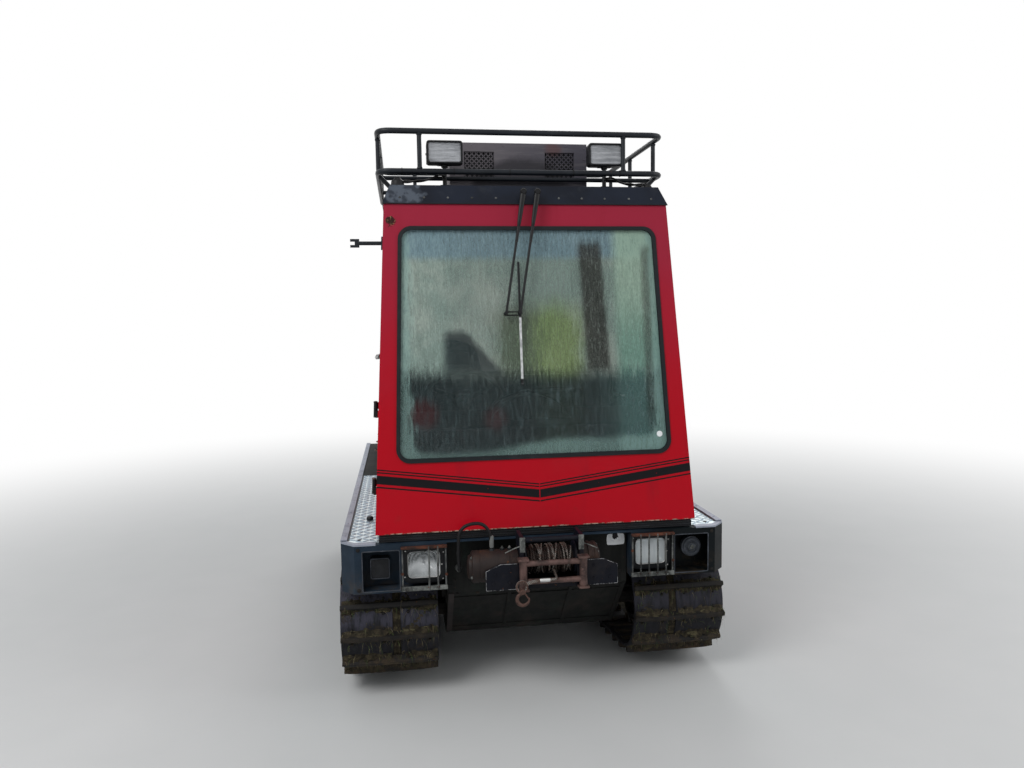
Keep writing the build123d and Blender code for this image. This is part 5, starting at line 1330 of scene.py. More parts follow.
def build_rope_and_cable():
    """Battery cable held at both ends, and the rope's end over the lower roller to its ferrule."""
    route = [(-0.335, -1.178, 0.56), (-0.335, -1.28, 0.56), (-0.342, -1.292, 0.662), (-0.335, -1.292, 0.768),
             (-0.207, -1.288, 0.772), (-0.207, -1.286, 0.664)]
    cable = rope_line("battery_cable", route, 0.007, "cable_rubber")
    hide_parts("winch_cable")
    sleeve = [lathe(mm(7.8, -24, 8.8, -20, 8.8, 20, 7.8, 24, 0, 24), (-0.207, -1.2866, 0.692), Z, 18)]
    boot = mm(0, 0, 14, 0, 14, 6, 10.5, 18, 8.2, 40, 0, 40)
    sleeve.append(lathe(boot, (-0.335, -1.178, 0.56), -Y, 18))
    held = piece("cable_sleeve_and_boot", sleeve, "inner_plastic")

    hook = Marked()
    eye, bowl_at = (-0.107, -1.422, 0.547), (-0.103, -1.422, 0.497)
    angle = around(40)
    loop = np.stack([eye[0] + 0.02 * np.cos(angle), np.full(40, eye[1]), eye[2] + 0.0215 * np.sin(angle)], 1)
    hook.add(0, sweep(loop, ring(0.005, 10), up=Y, closed=True))
    hook.add(2, sweep(loop, rounded(mm(-4.5, -6.2, 1.8, -6.2, 1.8, 6.2, -4.5, 6.2), 0.001, 2, True)
                      * (0.8, 1.0), up=Y, closed=True))
    strands = [mm(-90, -1422, 559, -70, -1420.5, 566, -40, -1420, 568, width=3),
               mm(-88, -1422, 553, -70, -1423.5, 561, -40, -1424, 566, width=3)]
    for strand in strands:
        hook.add(0, tube(strand, 0.004, Y, 0.01, sides=10))
    ferrule = mm(0, -36, 6.8, -36, 7.8, -33, 7.8, 0, 6.8, 4, 0, 4)
    hook.add(1, lathe(ferrule, (0, -1.422, 0.568), X, 22))
    arc = circle(bowl_at, 0.0235, np.radians(np.linspace(112, 372, 44)), X, Z)
    shank = np.array([(-0.104, -1.422, 0.532), (-0.106, -1.422, 0.526)])
    line = np.concatenate([shank, arc])
    girth = np.interp(np.arange(len(line)), [0, 2, 20, 34, len(line) - 1], [0.9, 1.0, 1.25, 0.95, 0.45])
    eye = mm(0, -6.8, 10.5, -6.8, 11.5, -4, 11.5, 4, 10.5, 6.8, 0, 6.8)
    latch = mm(-100, 521, -94, 523, -80, 500, -83, 496)
    hook.add(2, sweep(line, ring(0.0064, 12) * (1.0, 0.88), up=Y, grow=girth),
             lathe(eye, (-0.106, -1.422, 0.527), Y, 20), prism(latch, "y", -1.4245, -1.4195, 0.0006))
    made = piece("winch_hook_forged", hook, ["wire_rope", "bright_steel", "hook_rust"],
                 ["winch_hook"])
    end = [(0.035, -1.345, 0.58), (0.035, -1.372, 0.571), (0.034, -1.398, 0.569), (0.026, -1.4205, 0.5685),
           (0.002, -1.422, 0.5682), (-0.042, -1.422, 0.568)]
    rope = rope_line("rope_end", end, 0.005, "wire_rope")
    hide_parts("winch_hook")


def build_fairlead():
    """Rusted rollers with shouldered ends between bent brackets, and their pins."""
    y = -1.364 - 0.017 - 0.003
    shapes = []
    upright = mm(0, 0, 10, 0, 15.5, 3, 16.5, 10, 15, 30, 15, 89, 16.5, 109, 15.5, 116, 10, 119, 0, 119)
    level = mm(0, 0, 7, 0, 11.2, 3, 11.8, 12, 10.8, 50, 10.6, 180, 11.8, 220, 11.2, 229, 7, 232, 0, 232)
    for x in (WINCH_X - 0.12, WINCH_X + 0.12):
        shapes.append(lathe(upright, (x, y, 0.5222), Z, 26))
        for z in (0.517, 0.638):
            shapes.append(box(x - 0.0218, x + 0.0218, -1.4045, -1.3645, z, z + 0.008, 0.0012, 0.006))
        shapes += bolts([(x, y, 0.6458)], Z, 0.0065, 0.0001)
    for z in (WINCH_Z - 0.06, WINCH_Z + 0.012):
        shapes.append(lathe(level, (WINCH_X - 0.116, y, z), X, 24))
    piece("fairlead_rollers", shapes, "rust", ["fairlead"])


build_drum()
build_motor()
build_frame_trim()
build_rope_and_cable()
build_fairlead()


# Roof gear

def build_rack():
    """Roof basket of smooth tube: two rounded loops, posts, cross tubes and slanted feet on bolted pads."""
    front, rear, half, low, high = -0.928, 0.03, 0.621, 2.207, 2.374
    shapes = []
    for z in (low, high):
        loop = [(-half, front, z), (half, front, z), (half, rear, z), (-half, rear, z)]
        straight = rounded(loop, 0.06, 8, True)
        shapes.append(sweep(straight, ring(0.0122, 14), closed=True))
    corners = [(s * 0.445, v) for s in (-1, 1) for v in (front, rear)]
    sides = [(s * half, v) for s in (-1, 1) for v in (front + 0.12, -0.449, rear - 0.12)]
    for x, y in corners + sides:
        shapes.append(tube([(x, y, low), (x, y, high)], 0.0098, Y))
        for z, way in ((low + 0.01, Z), (high - 0.01, -Z)):
            bead = mm(10, 0, 12.2, 2, 11.6, 6, 9.8, 9, 0, 9)
            shapes.append(lathe(bead, (x, y, z), way, 14))
    for y in (-0.7605, -0.3595, -0.09):
        shapes.append(tube([(-half, y, low), (half, y, low)], 0.0098))
    for side in (-1, 1):
        for y in (front + 0.1, rear - 0.1):
            shapes.append(tube([(side * half, y, low), (side * 0.5615, y, 2.144)], 0.0098, Y))
            x0, x1 = sorted((side * 0.532, side * 0.58))
            shapes.append(box(x0, x1, y - 0.038, y + 0.038, 2.1342, 2.1475, 0.0015))
            feet = [(side * 0.54, y - 0.026, 2.1475), (side * 0.54, y + 0.026, 2.1475)]
            shapes += bolts(feet, Z, 0.006, 0.005)
    piece("roof_basket", shapes, "rack_paint", ["roof_rack"])


def build_rack_wires():
    """Lamp wires clipped along the basket's front tube and down to a gland on the roof."""
    t = np.linspace(0, 1, 60)
    wires = []
    for x0, x1, sag, z0 in ((WORK_LAMPS_X[0], -0.545, 0.014, 2.192), (WORK_LAMPS_X[1], 0.56, 0.018, 2.19)):
        x = x0 + (x1 - x0) * t
        y = -0.868 - 0.035 * np.sin(math.pi * t) - 0.04 * t
        z = z0 - sag * np.sin(math.pi * t) - 0.03 * t ** 2 + 0.004 * np.sin(9 * t)
        wires.append(sweep(np.stack([x, y, z], 1), ring(0.0046, 8)))
        second = [x, y - 0.01 - 0.006 * np.sin(5 * t), z + 0.004 - 0.01 * t + 0.004 * np.sin(14 * t)]
        wires.append(sweep(np.stack(second, 1), ring(0.0036, 8)))
    ties = lathe(mm(12.8, -2, 14.2, -2, 14.2, 2, 12.8, 2), (0, -0.928, 2.207), X, 16, closed=True)
    wires.append(copies(ties, [(x, 0, 0) for x in (-0.52, -0.3, -0.06, 0.22, 0.43)]))
    gland = mm(34, 2134.5, 34, 2142, 28, 2150, 26, 2164, 17, 2172, 10, 2180, 0, 2181)
    wires.append(lathe(gland, (-0.54, -0.935, 0), Z, 28))
    wires.append(lathe(mm(20, 2134.5, 20, 2146, 12, 2160, 0, 2162), (0.556, -0.93, 0), Z, 22))
    piece("rack_wires", wires, "cable_rubber")


def build_roof_box():
    """Sheet box with folded edges and rivets, and expanded mesh behind its two openings."""
    x0, x1, y0, y1, z0, z1 = -0.306, 0.326, -0.74, -0.38, 2.1342, 2.372
    shapes = Marked()
    low, high = 2.207, 2.333
    cuts = [x0, -0.241, -0.103, 0.13, 0.268, x1]
    for a, b in zip(cuts[::2], cuts[1::2]):
        shapes.add(0, box(a, b, y0, y0 + 0.004, low, high, 0.0))
    for a, b in ((z0, low), (high, z1)):
        shapes.add(0, box(x0, x1, y0, y0 + 0.004, a, b, 0.0))
    shapes.add(0, box(x0, x1, y1 - 0.004, y1, z0, z1, 0.001),
               box(x0, x0 + 0.004, y0 + 0.004, y1 - 0.004, z0, z1, 0.0),
               box(x1 - 0.004, x1, y0 + 0.004, y1 - 0.004, z0, z1, 0.0),
               box(x0 + 0.0005, x1 - 0.0005, y0 + 0.0005, y1 - 0.0005, z1 - 0.004, z1, 0.0012))
    heights = np.linspace(z0 + 0.02, z1 - 0.02, 5)
    rivets = [(x, y0 + 0.0002, z) for x in (x0 + 0.012, x1 - 0.012) for z in heights]
    rivets += [(x, y0 + 0.0002, z1 - 0.012) for x in np.linspace(x0 + 0.1, x1 - 0.1, 4)]
    shapes.add(0, domes(rivets, radius=0.0042, height=0.0018))
    for side, x in ((-1, x0), (1, x1)):
        spots = [(x, y, z) for y in np.linspace(y0 + 0.03, y1 - 0.03, 5) for z in (z0 + 0.014, z1 - 0.014)]
        shapes.add(0, domes(spots, (side, 0, 0), 0.0042, 0.0018))
    pitch = 0.0152
    strip = mm(-2.2, -0.8, 2.2, -0.8, 2.2, 0.8, -2.2, 0.8)
    for cx in (-0.172, 0.199):
        w, h = 0.067, 0.061
        for turn in (-1, 1):
            k = np.arange(-9, 10) * pitch * math.sqrt(2)
            lo = np.maximum(-w, -h - turn * k) if turn > 0 else np.maximum(-w, k - h)
            hi = np.minimum(w, h - turn * k) if turn > 0 else np.minimum(w, k + h)
            keep = hi - lo > 0.004
            for c, p, q in zip(k[keep], lo[keep], hi[keep]):
                start = (cx + p, y0 + 0.0062, 2.27 + (p + c if turn > 0 else c - p))
                stop = (cx + q, y0 + 0.0062, 2.27 + (q + c if turn > 0 else c - q))
                shapes.add(0, sweep([start, stop], strip, Y))
        shapes.add(0, rim(pad_outline(cx, 2.27, 0.134, 0.122, 0.002, 2), y0 + 0.0045, y0 + 0.0085, 0.006,
                          0.0005))
        shapes.add(2, box(cx - 0.08, cx + 0.08, y0 + 0.03, y0 + 0.032, 2.19, 2.35, 0.0))
    piece("roof_box_sheet", shapes, ["weathered_sheet", "rack_paint", "lamp_black"],
          ["roof_box"])


def build_roof_trim():
    """Row of bolts along the roof's front lip, its rear and sides, and a folded drip edge."""
    z = 2.08
    y = -1.054 + 0.0344 * (z - 2.054) / 0.08
    places = [(x, y, z) for x in (-0.533, -0.434, -0.336, -0.236, -0.136, 0.131, 0.23, 0.33, 0.436, 0.535)]
    shapes = domes(places, (0, -0.92, 0.39), 0.005, 0.0034, 10)
    sides = [(0.605 - 0.0225 * (z - 2.054) / 0.08 * 1.5 + 0.0008, v, z) for v in np.linspace(-0.98, 0.07, 12)]
    side = domes(sides, (0.92, 0, 0.39), 0.0062, 0.0038, 10)
    rear = domes([(v, 0.153 - 0.0344 * (z - 2.054) / 0.08, z) for v in np.linspace(-0.5, 0.5, 11)],
                 (0, 0.92, 0.39), 0.0062, 0.0038, 10)
    piece("roof_bolts", [shapes, side, flipped(side), rear], "dark_rod")
    piece("roof_seam", [sweep([(-0.604, -1.0535, 2.0545), (0.604, -1.0535, 2.0545)], ring(0.0022, 8))],
          "seal_rubber")


build_rack()
build_rack_wires()
build_roof_box()
build_roof_trim()


# Wiper

def on_screen(x, z, out):
    """Point in front of the leaning front by out, measured square to it."""
    tilt = math.atan(FRONT_LEAN)
    return np.array([x, front_y(z) - out * math.cos(tilt), z + out * math.sin(tilt)])


def build_wiper():
    """Two arms with broad black heads, springs and thin rods, the link, and the half-silver blade."""
    tilt = math.atan(FRONT_LEAN)
    up = np.array([0, math.sin(tilt), math.cos(tilt)])
    out = np.array([0, -math.cos(tilt), math.sin(tilt)])
    drop = math.sqrt(0.512 ** 2 - 0.088 ** 2)
    tips = []
    for x, body, name in ((-0.025, "wiper_follower", "wiper_arm_follower"),
                          (0.034, "wiper_drive", "wiper_arm_drive")):
        pivot = on_screen(x, 2.097, 0.034)
        tip = pivot + (-0.088, 0, 0) - up * drop
        tips.append(tip)
        down = unit(tip - pivot)
        side = np.cross(down, out)
        reach = np.array([-0.012, -0.004, 0.02, 0.07, 0.125, 0.15, 0.156])
        wide = np.array([0.004, 0.0095, 0.012, 0.0105, 0.0085, 0.0065, 0.003])
        deep = np.array([0.003, 0.006, 0.0075, 0.0065, 0.005, 0.0045, 0.002])
        shape = ring(1.0, 16)
        rows = ((pivot + out * 0.003 + down * reach[:, None])[:, None]
                + side * (shape[None, :, :1] * wide[:, None, None])
                + out * (shape[None, :, 1:] * deep[:, None, None]))
        shapes = [patch(rows, wrap_v=True, ends=True)]
        shapes.append(sweep([pivot + down * 0.14, tip], ring(0.0053, 10), up=out))
        shapes.append(sweep([pivot + down * 0.15 + out * 0.004, pivot + down * 0.215 + out * 0.003],
                            ring(0.0066, 10), up=out))
        shapes.append(lathe(mm(0, -8, 12.5, -8, 13.5, -5, 13.5, 6, 10, 11.5, 0, 11.8), pivot, out, 24))
        shapes.append(lathe(mm(0, -7, 7.5, -7, 7.5, 7, 0, 7), tip, out, 16))
        piece(f"{name}_dressed", shapes, "wiper_black", [name], body=body)
    left, right = tips
    lower = -out * 0.02
    shapes = Marked()
    for lift in (-0.007, 0.007):
        ends = [left + lower + up * lift + (-0.004, 0, 0), right + lower + up * lift + (0.004, 0, 0)]
        shapes.add(0, sweep(ends, ring(0.003, 8), up=out))
    for tip in tips:
        shapes.add(0, lathe(mm(0, -26, 5, -26, 5, -7.8, 0, -7.8), tip, out, 12),
                   lathe(mm(0, -24.5, 9, -24.5, 9, -16, 0, -16), tip, out, 16))
    top, low = right + lower + up * 0.215, right + lower - up * 0.295
    blade_profile = rounded(mm(-5.2, -3, 5.2, -3, 3, 4.5, -3, 4.5), 0.001, 3, True)
    path = np.linspace(top, low, 24)
    shapes.add(1, sweep(path, blade_profile, up=-out))
    lip = mm(-1.2, -5.8, 1.2, -5.8, 1.2, 0, -1.2, 0)
    shapes.add(0, sweep(path, lip, up=out))
    for t in (0.4, 0.62, 0.8, 0.97):
        spot = top + (low - top) * t
        clip = sweep([spot - up * 0.009, spot + up * 0.009], ring(0.0056, 12), up=out)
        shapes.add(1 if t < 0.9 else 0, clip)
    piece("wiper_blade_dressed", shapes, ["wiper_black", "wiper_blade"], ["wiper_blade"],
          body="wiper_blade")


build_wiper()


# Cab interior

def grown(rows, steps=40):
    """Closed form from cross rows: each row is a middle, half sizes a and b and two directions; its outline
    is a rounded box, a sign(cos)|cos|^p and b sign(sin)|sin|^p."""
    middle, half_a, half_b, way_a, way_b, power = rows
    angle = around(steps)
    c = np.sign(np.cos(angle)) * np.abs(np.cos(angle)) ** power
    s = np.sign(np.sin(angle)) * np.abs(np.sin(angle)) ** power
    points = (middle[:, None] + half_a[:, None, None] * c[None, :, None] * way_a
              + half_b[:, None, None] * s[None, :, None] * way_b)
    return patch(points, wrap_v=True, ends=True)


def seat_form(x, back_top):
    """Seat cushion and backrest: its rows run back along the cushion and up the backrest, narrowing above."""
    t = np.linspace(0, 1, 26)
    swell = np.clip(1 - np.abs(2 * t - 1) ** 7, 0.02, 1) ** 0.5
    middle = np.stack([np.full(26, x), -0.59 + 0.445 * t, 0.9975 - 0.012 * np.sin(math.pi * t)], 1)
    cushion = grown((middle, 0.208 * swell, 0.054 * swell, X, Z, 0.42))
    rise = 1.01 + (back_top - 1.02) * t
    lean = -0.115 + 0.095 * ((rise - 1.01) / 0.48)
    taper = 1 - 0.4 * np.clip((rise - 1.1) / 0.4, 0, 1) ** 1.6
    middle = np.stack([np.full(26, x), lean, rise], 1)
    back = grown((middle, 0.204 * swell * taper, 0.036 * swell ** 0.7, X, np.array([0, 0.98, -0.19]), 0.45))
    return cushion, back


def stuff(name, shape, x, cap=0.014):
    """Padding: remesh at 6.5 mm, cloth pressure for 20 frames with no gravity, each point's move capped, then
    sewn channels pressed in where |x - middle| is near a seam by a narrow bell curve."""
    made = piece(name, [shape], "seat_cloth", smooth=180)
    remesh = made.modifiers.new("even", "REMESH")
    remesh.mode = "VOXEL"
    remesh.voxel_size = 0.0065
    graph = bpy.context.evaluated_depsgraph_get()
    even = bpy.data.meshes.new_from_object(made.evaluated_get(graph))
    made.modifiers.clear()
    made.data = even
    rest = np.empty(len(even.vertices) * 3, np.float32)
    even.vertices.foreach_get("co", rest)
    rest = rest.reshape(-1, 3)
    cloth = made.modifiers.new("stuffing", "CLOTH")
    cloth.settings.use_pressure = True
    cloth.settings.uniform_pressure_force = 4.0
    cloth.settings.effector_weights.gravity = 0.0
    cloth.settings.quality = 4
    for step in range(1, 21):
        bpy.context.scene.frame_set(step)
    graph = bpy.context.evaluated_depsgraph_get()
    swollen = made.evaluated_get(graph).to_mesh()
    moved = np.empty(len(swollen.vertices) * 3, np.float32)
    swollen.vertices.foreach_get("co", moved)
    move = moved.reshape(-1, 3) - rest
    made.evaluated_get(graph).to_mesh_clear()
    made.modifiers.clear()
    bpy.context.scene.frame_set(1)
    far = np.linalg.norm(move, axis=1, keepdims=True)
    rest = rest + move * np.minimum(1.0, cap / np.maximum(far, 1e-6))
    normal = np.empty(len(rest) * 3, np.float32)
    even.vertices.foreach_set("co", rest.ravel())
    even.update()
    even.vertex_normals.foreach_get("vector", normal)
    normal = normal.reshape(-1, 3)
    across = np.abs(rest[:, 0] - x)
    along = (rest[:, 1] + rest[:, 2] * 1.4 + 5) % 0.11 - 0.055
    seam = (np.exp(-((across - 0.105) / 0.0055) ** 2)
            + 0.8 * np.exp(-(along / 0.0055) ** 2) * (across < 0.105))
    rest = rest - normal * seam[:, None] * 0.0045
    low, high = np.array([x - 0.2195, -0.5995, 0.9305]), np.array([x + 0.2195, 0.0195, 1.4995])
    rest = np.clip(rest, low, high)
    even.vertices.foreach_set("co", rest.astype(np.float32).ravel())
    even.update()
    even.polygons.foreach_set("use_smooth", np.ones(len(even.polygons), bool))
    soft = made.modifiers.new("smooth", "SUBSURF")
    soft.levels = soft.render_levels = 1
    return made


def build_seats():
    """Two cloth seats: the driver's with a tall narrowing back, the passenger's with a low one."""
    for x, top, owner in ((-SEAT_X, 1.49, "driver_seat"), (SEAT_X, 1.21, "passenger_seat")):
        cushion, back = seat_form(x, top)
        for kind, shape in (("cushion", cushion), ("back", back)):
            made = stuff(f"{owner}_{kind}", shape, x)
            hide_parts(owner)


def build_dash():
    """Three dials, a row of switches, vents, levers with knobs, and a moulded lip for the instrument hood."""
    shapes = Marked()
    lip = mm(-185, -909, 1150, -150, -909, 1205, -80, -909, 1240, 0, -909, 1249.5, 80, -909, 1240,
             150, -909, 1205, 185, -909, 1150, width=3)
    shapes.add(0, tube(lip, 0.006, Y, 0.05))
    for x, r in ((-0.095, 0.036), (0.0, 0.046), (0.095, 0.036)):
        shapes.add(1, lathe([(r, 0.0), (r, 0.007), (r * 0.93, 0.009), (r * 0.9, 0.006), (0.0, 0.006)],
                            (x, -0.9101, 1.172), Y, 36))
        shapes.add(2, lathe([(r * 0.86, 0.0), (r * 0.86, 0.0075), (0.0, 0.0075)], (x, -0.9101, 1.172), Y, 36))
        shapes.add(3, box(x - 0.0012, x + 0.0012, -0.9026, -0.9016, 1.172, 1.172 + r * 0.7, 0.0004))
        ticks = circle((x, -0.9024, 1.172), r * 0.72, np.linspace(-0.8, 3.9, 11), X, Z)
        shapes.add(3, domes(ticks, Y, 0.0018, 0.0006, 6))
    keys = box(-0.011, 0.011, -0.004, 0.004, -0.008, 0.008, 0.0015)
    shapes.add(1, copies(keys, [(x, -0.893 + 0.002, 1.06) for x in np.arange(0.12, 0.46, 0.034)]))
    for x in (-0.5, 0.5):
        shapes.add(1, lathe(mm(33, 0, 33, 6, 27, 8, 24, 4, 0, 4), (x, -0.893, 1.08), (0, 1, 0.25), 30))
    for x, lean in ((-0.02, 0.03), (0.035, 0.05)):
        shapes.add(4, tube([(x, -0.62, 0.74), (x, -0.64, 0.9), (x + lean, -0.655, 1.065)], 0.0075, X, 0.05,
                           sides=10))
        knob = mm(0, -24, 10, -20, 19, -8, 20, 4, 14, 16, 0, 21)
        boot = mm(30, 0, 28, 12, 20, 26, 22, 34, 12, 52, 0, 54)
        shapes.add(1, lathe(knob, (x + lean, -0.656, 1.085), Z, 20), lathe(boot, (x, -0.62, 0.7305), Z, 20))
    finishes = ["dash_plastic", "lamp_black", "inner_plastic", "scraped_edge", "bright_steel"]
    piece("dash_fittings", shapes, finishes)


def build_steering_wheel():
    """Steering wheel: round grip with finger swells, three dished spokes and a padded middle."""
    way = unit((0, 0.1, 0.07))
    centre = np.array([-SEAT_X, -0.79, 1.19]) + way * 0.0303
    top = np.cross(way, X)
    angle = around(96)
    grip = circle(centre, 0.175, angle, X, top)
    shapes = Marked()
    shapes.add(0, sweep(grip, ring(0.0122, 14), up=way, closed=True, grow=1 + 0.04 * np.cos(24 * angle)))
    hub = mm(0, -30, 24, -30, 29, -20, 30, -4, 45, 0, 50, 6, 44, 12.5, 20, 13.8, 0, 13.8)
    shapes.add(0, lathe(hub, centre, way, 36))
    for turn in np.radians((90, 210, 330)):
        spoke = math.cos(turn) * X + math.sin(turn) * top
        t = np.linspace(0.026, 0.172, 10)[:, None]
        line = centre + spoke * t + way * (0.004 * np.cos(t * 18))
        flat = rounded(mm(-12, -2.8, 12, -2.8, 12, 2.8, -12, 2.8), 0.0025, 3, True)
        shapes.add(1, sweep(line, flat, up=way, grow=np.linspace(1.15, 0.8, 10)))
    piece("steering_wheel_round", shapes, ["wheel_grip", "dash_plastic"], ["steering_wheel"],
          body="steering_wheel")


def build_lining():
    """Dark lining on the cab's rear wall and rear corners, and trim cards with pulls on the doors."""
    shapes = []
    for z0, z1, half in ((0.94, 1.255, 0.585), (1.94, 2.04, 0.56)):
        shapes.append(box(-half, half, 0.106, 0.1125, z0, z1, 0.002))
    for side in (-1, 1):
        a, b = sorted((side * 0.44, side * 0.566))
        shapes.append(box(a, b, 0.106, 0.1125, 1.256, 1.939, 0.002))
        z = np.array([0.945, 2.03])
        x = side * (half_at(z) - 0.036)
        outline = np.array([(x[0], z[0]), (x[0] - side * 0.006, z[0]), (x[1] - side * 0.006, z[1]),
                            (x[1], z[1])])
        shapes.append(prism(outline, "y", -0.13, 0.104, 0.001))
    shapes.append(box(-0.545, 0.545, -0.985, 0.1, 2.1, 2.1065, 0.002))
    piece("cab_lining", shapes, "dark_lining")
    for side, name in ((1, "left"), (-1, "right")):
        z = np.array([0.8, 1.255])
        x = side * (half_at(z) - 0.0355)
        card = np.array([(x[0], z[0]), (x[0] - side * 0.004, z[0]), (x[1] - side * 0.004, z[1]),
                         (x[1], z[1])])
        parts = Marked()
        parts.add(0, prism(card, "y", -1.01, -0.185, 0.001))
        pull = [(side * (half_at(1.17) - inset), y, 1.17)
                for inset, y in ((0.038, -0.42), (0.062, -0.412), (0.062, -0.3), (0.038, -0.292))]
        parts.add(1, tube(pull, 0.0065, Z, 0.012, sides=10))
        piece(f"door_card_{name}", parts, ["dark_lining", "bright_steel"], body=f"door_{name}")


build_seats()
build_dash()
build_steering_wheel()
build_lining()


# Cab outside, decks and bumper

def build_door_trim():
    """Silver key barrels, worn grips on the handles and hinge pins on each door."""
    for side, name in ((1, "left"), (-1, "right")):
        x = side * half_at(HANDLE_Z)
        parts = Marked()
        y = CAB_REAR - 0.302 - 0.033
        grip = [(x + side * 0.026, y - 0.118, HANDLE_Z), (x + side * 0.0365, y - 0.11, HANDLE_Z),
                (x + side * 0.0365, y - 0.01, HANDLE_Z), (x + side * 0.026, y + 0.006, HANDLE_Z)]
        parts.add(0, tube(grip, 0.0092, Z, 0.012, sides=12),
                  lathe(mm(12, 0, 12, 3, 9, 5, 0, 5.2), (side * (half_at(1.33) + 0.0002), y, 1.33),
                        (side, 0, 0.05), 22))
        for z in (0.86, 1.18):
            spot = (side * (half_at(z + 0.031) + 0.013), CAB_FRONT - 0.01 + 0.172 - 0.003, z + 0.0625)
            parts.add(1, lathe(mm(8.8, 0, 8.8, 3, 6, 5, 0, 5.5), spot, Z, 14))
        piece(f"door_trim_{name}", parts, ["bright_steel", "rust"], body=f"door_{name}")


def build_cab_trim():
    """Two pressed beads along the foot of the cab's front, a blank round sticker on the windscreen, and
    louvred vents, a hatch and grab handles on the rear wall."""
    rows = ((0.7035, 0.0024), (0.7145, 0.0028))
    beads = [sweep([(-0.6515, -1.2215, z), (0.6515, -1.2215, z)], ring(r, 8) * (1, 1.1)) for z, r in rows]
    piece("cab_base_beads", beads, "lamp_black")
    out = unit((0, -1, FRONT_LEAN))
    spot = np.array([0.529, front_y(1.084) + 0.0076, 1.084])
    piece("screen_sticker", [lathe(mm(0, -1.2, 12.5, -1.2, 12.5, 0.8, 0, 1), spot, out, 28)], "torn_label")
    parts = Marked()
    y = CAB_REAR
    for side in (-1, 1):
        for k in range(6):
            z = 0.985 + 0.03 * k
            slat = [(y - 0.0005, z), (y + 0.0105, z - 0.01), (y + 0.012, z - 0.0085), (y + 0.001, z + 0.003)]
            parts.add(0, prism(slat, "x", side * 0.34 - 0.085, side * 0.34 + 0.085))
        frame_of = pad_outline(side * 0.34, 1.06, 0.186, 0.196, 0.008, 3)
        parts.add(0, rim(frame_of, y - 0.0005, y + 0.0035, 0.006, 0.001))
        parts.add(1, box(side * 0.34 - 0.086, side * 0.34 + 0.086, y - 0.0005, y + 0.0006, 0.964, 1.156, 0.0))
        grab = [(side * 0.6, y, 1.24), (side * 0.6, y + 0.045, 1.24), (side * 0.6, y + 0.045, 1.48),
                (side * 0.6, y, 1.48)]
        parts.add(1, tube(grab, 0.008, X, 0.022, sides=12))
        for z in (1.24, 1.48):
            parts.add(1, lathe(mm(20, 0, 20, 3, 0, 4), (side * 0.6, y, z), Y, 20))
    parts.add(0, rim(pad_outline(0, 1.06, 0.34, 0.196, 0.014, 4), y - 0.0005, y + 0.0022, 0.004, 0.0006))
    for x in (-0.12, 0.12):
        parts.add(2, lathe(mm(16, 0, 16, 3, 9, 6, 0, 6), (x, y, 1.13), Y, 20))
    piece("rear_wall_fittings", parts, ["red_paint", "lamp_black", "bright_steel"])


def build_tow_pin():
    """Pin with a ring through the tow jaw, and the bolts of its plate."""
    pin = mm(0, 424, 10, 424, 12.5, 428, 12.5, 504, 20, 504, 20, 514, 16, 519, 0, 519)
    parts = Marked()
    parts.add(0, lathe(pin, (0, 1.396, 0), Z, 24))
    loop = circle((0, 1.396, 0.533), 0.019, around(28), X, Z)
    parts.add(0, sweep(loop, ring(0.0032, 8), up=Y, closed=True))
    plate = [(x, 1.3015, 0.47 + z) for x in (-0.052, 0.052) for z in (-0.052, 0.052)]
    parts.add(1, *bolts(plate, Y, 0.009, 0.007))
    piece("tow_pin", parts, ["bright_steel", "gear_paint"])


def build_decks():
    """Raised lens-shaped treads in two slants on the aluminium decks, painted darker than the plate as their
    shade and dark reflections, a pale lip, a black strip painted as the shade in the gap by the rail, and
    fixings.
    """
    lens = rounded(mm(-15, -1.2, 0, -4.2, 15, -1.2, 15, 1.2, 0, 4.2, -15, 1.2), 0.0018, 2, True)
    stud = prism(lens, "z", 0.6938, 0.69565, 0.0012)
    col, row = np.meshgrid(np.arange(0.65, 0.766, 0.028), np.arange(-1.19, 0.14, 0.026), indexing="ij")
    i, j = np.meshgrid(np.arange(col.shape[0]), np.arange(col.shape[1]), indexing="ij")
    spots = np.stack([col, row, np.zeros_like(col)], 2).reshape(-1, 3)
    odd = ((i + j) % 2).ravel() == 1
    inside = (spots[:, 0] < 0.764) & (spots[:, 0] - spots[:, 1] < 1.942)
    shapes = []
    for chosen, turn in ((odd & inside, 0.5), (~odd & inside, -0.5)):
        c, s = math.cos(turn), math.sin(turn)
        turned = (stud[0] @ np.array([(c, s, 0), (-s, c, 0), Z]), stud[1])
        shapes += both(copies(turned, spots[chosen]))
    piece("deck_treads", shapes, "tread_metal", smooth=50)
    apron = mm(665.5, -1239.5, 749, -1239.5, 803, -1185, 803, -1178, 779.5, -1178, 750.5, -1206.8,
               665.5, -1206.8)
    lip = mm(665.5, -1240.6, 691.2, 749, -1240.6, 691.2, 804.5, -1185, 691.2, width=3)
    front = [prism(apron, "z", 0.6903, 0.6946), sweep(lip, mm(-0.8, -3.2, 0.8, -3.2, 0.8, 3.2, -0.8, 3.2))]
    piece("deck_front_lip", both(front[0]) + both(front[1]), "rail_metal")
    heads = [(0.7935, y, 0.7) for y in np.linspace(-1.12, 1.26, 13)]
    piece("rail_rivets", both(domes(heads, Z, 0.0055, 0.0025)), "rail_metal")
    # A black strip along the rail's inner edge: painted shade in the gap between plate and rail.
    dark = [box(0.7715, 0.7798, -1.176, 0.146, 0.6936, 0.6949, 0.0002),
            domes([(0.7325, -1.172, 0.694)], Z, 0.0075, 0.004)]
    knob = mm(0, 0, 13, 0, 15, 4, 15, 12, 11, 18, 0, 19)
    dark.append(lathe(knob, (0.701, -0.862, 0.694), Z, 20))
    piece("deck_painted_gap_shade_and_knobs", [s for shape in dark for s in both(shape)], "lamp_black")


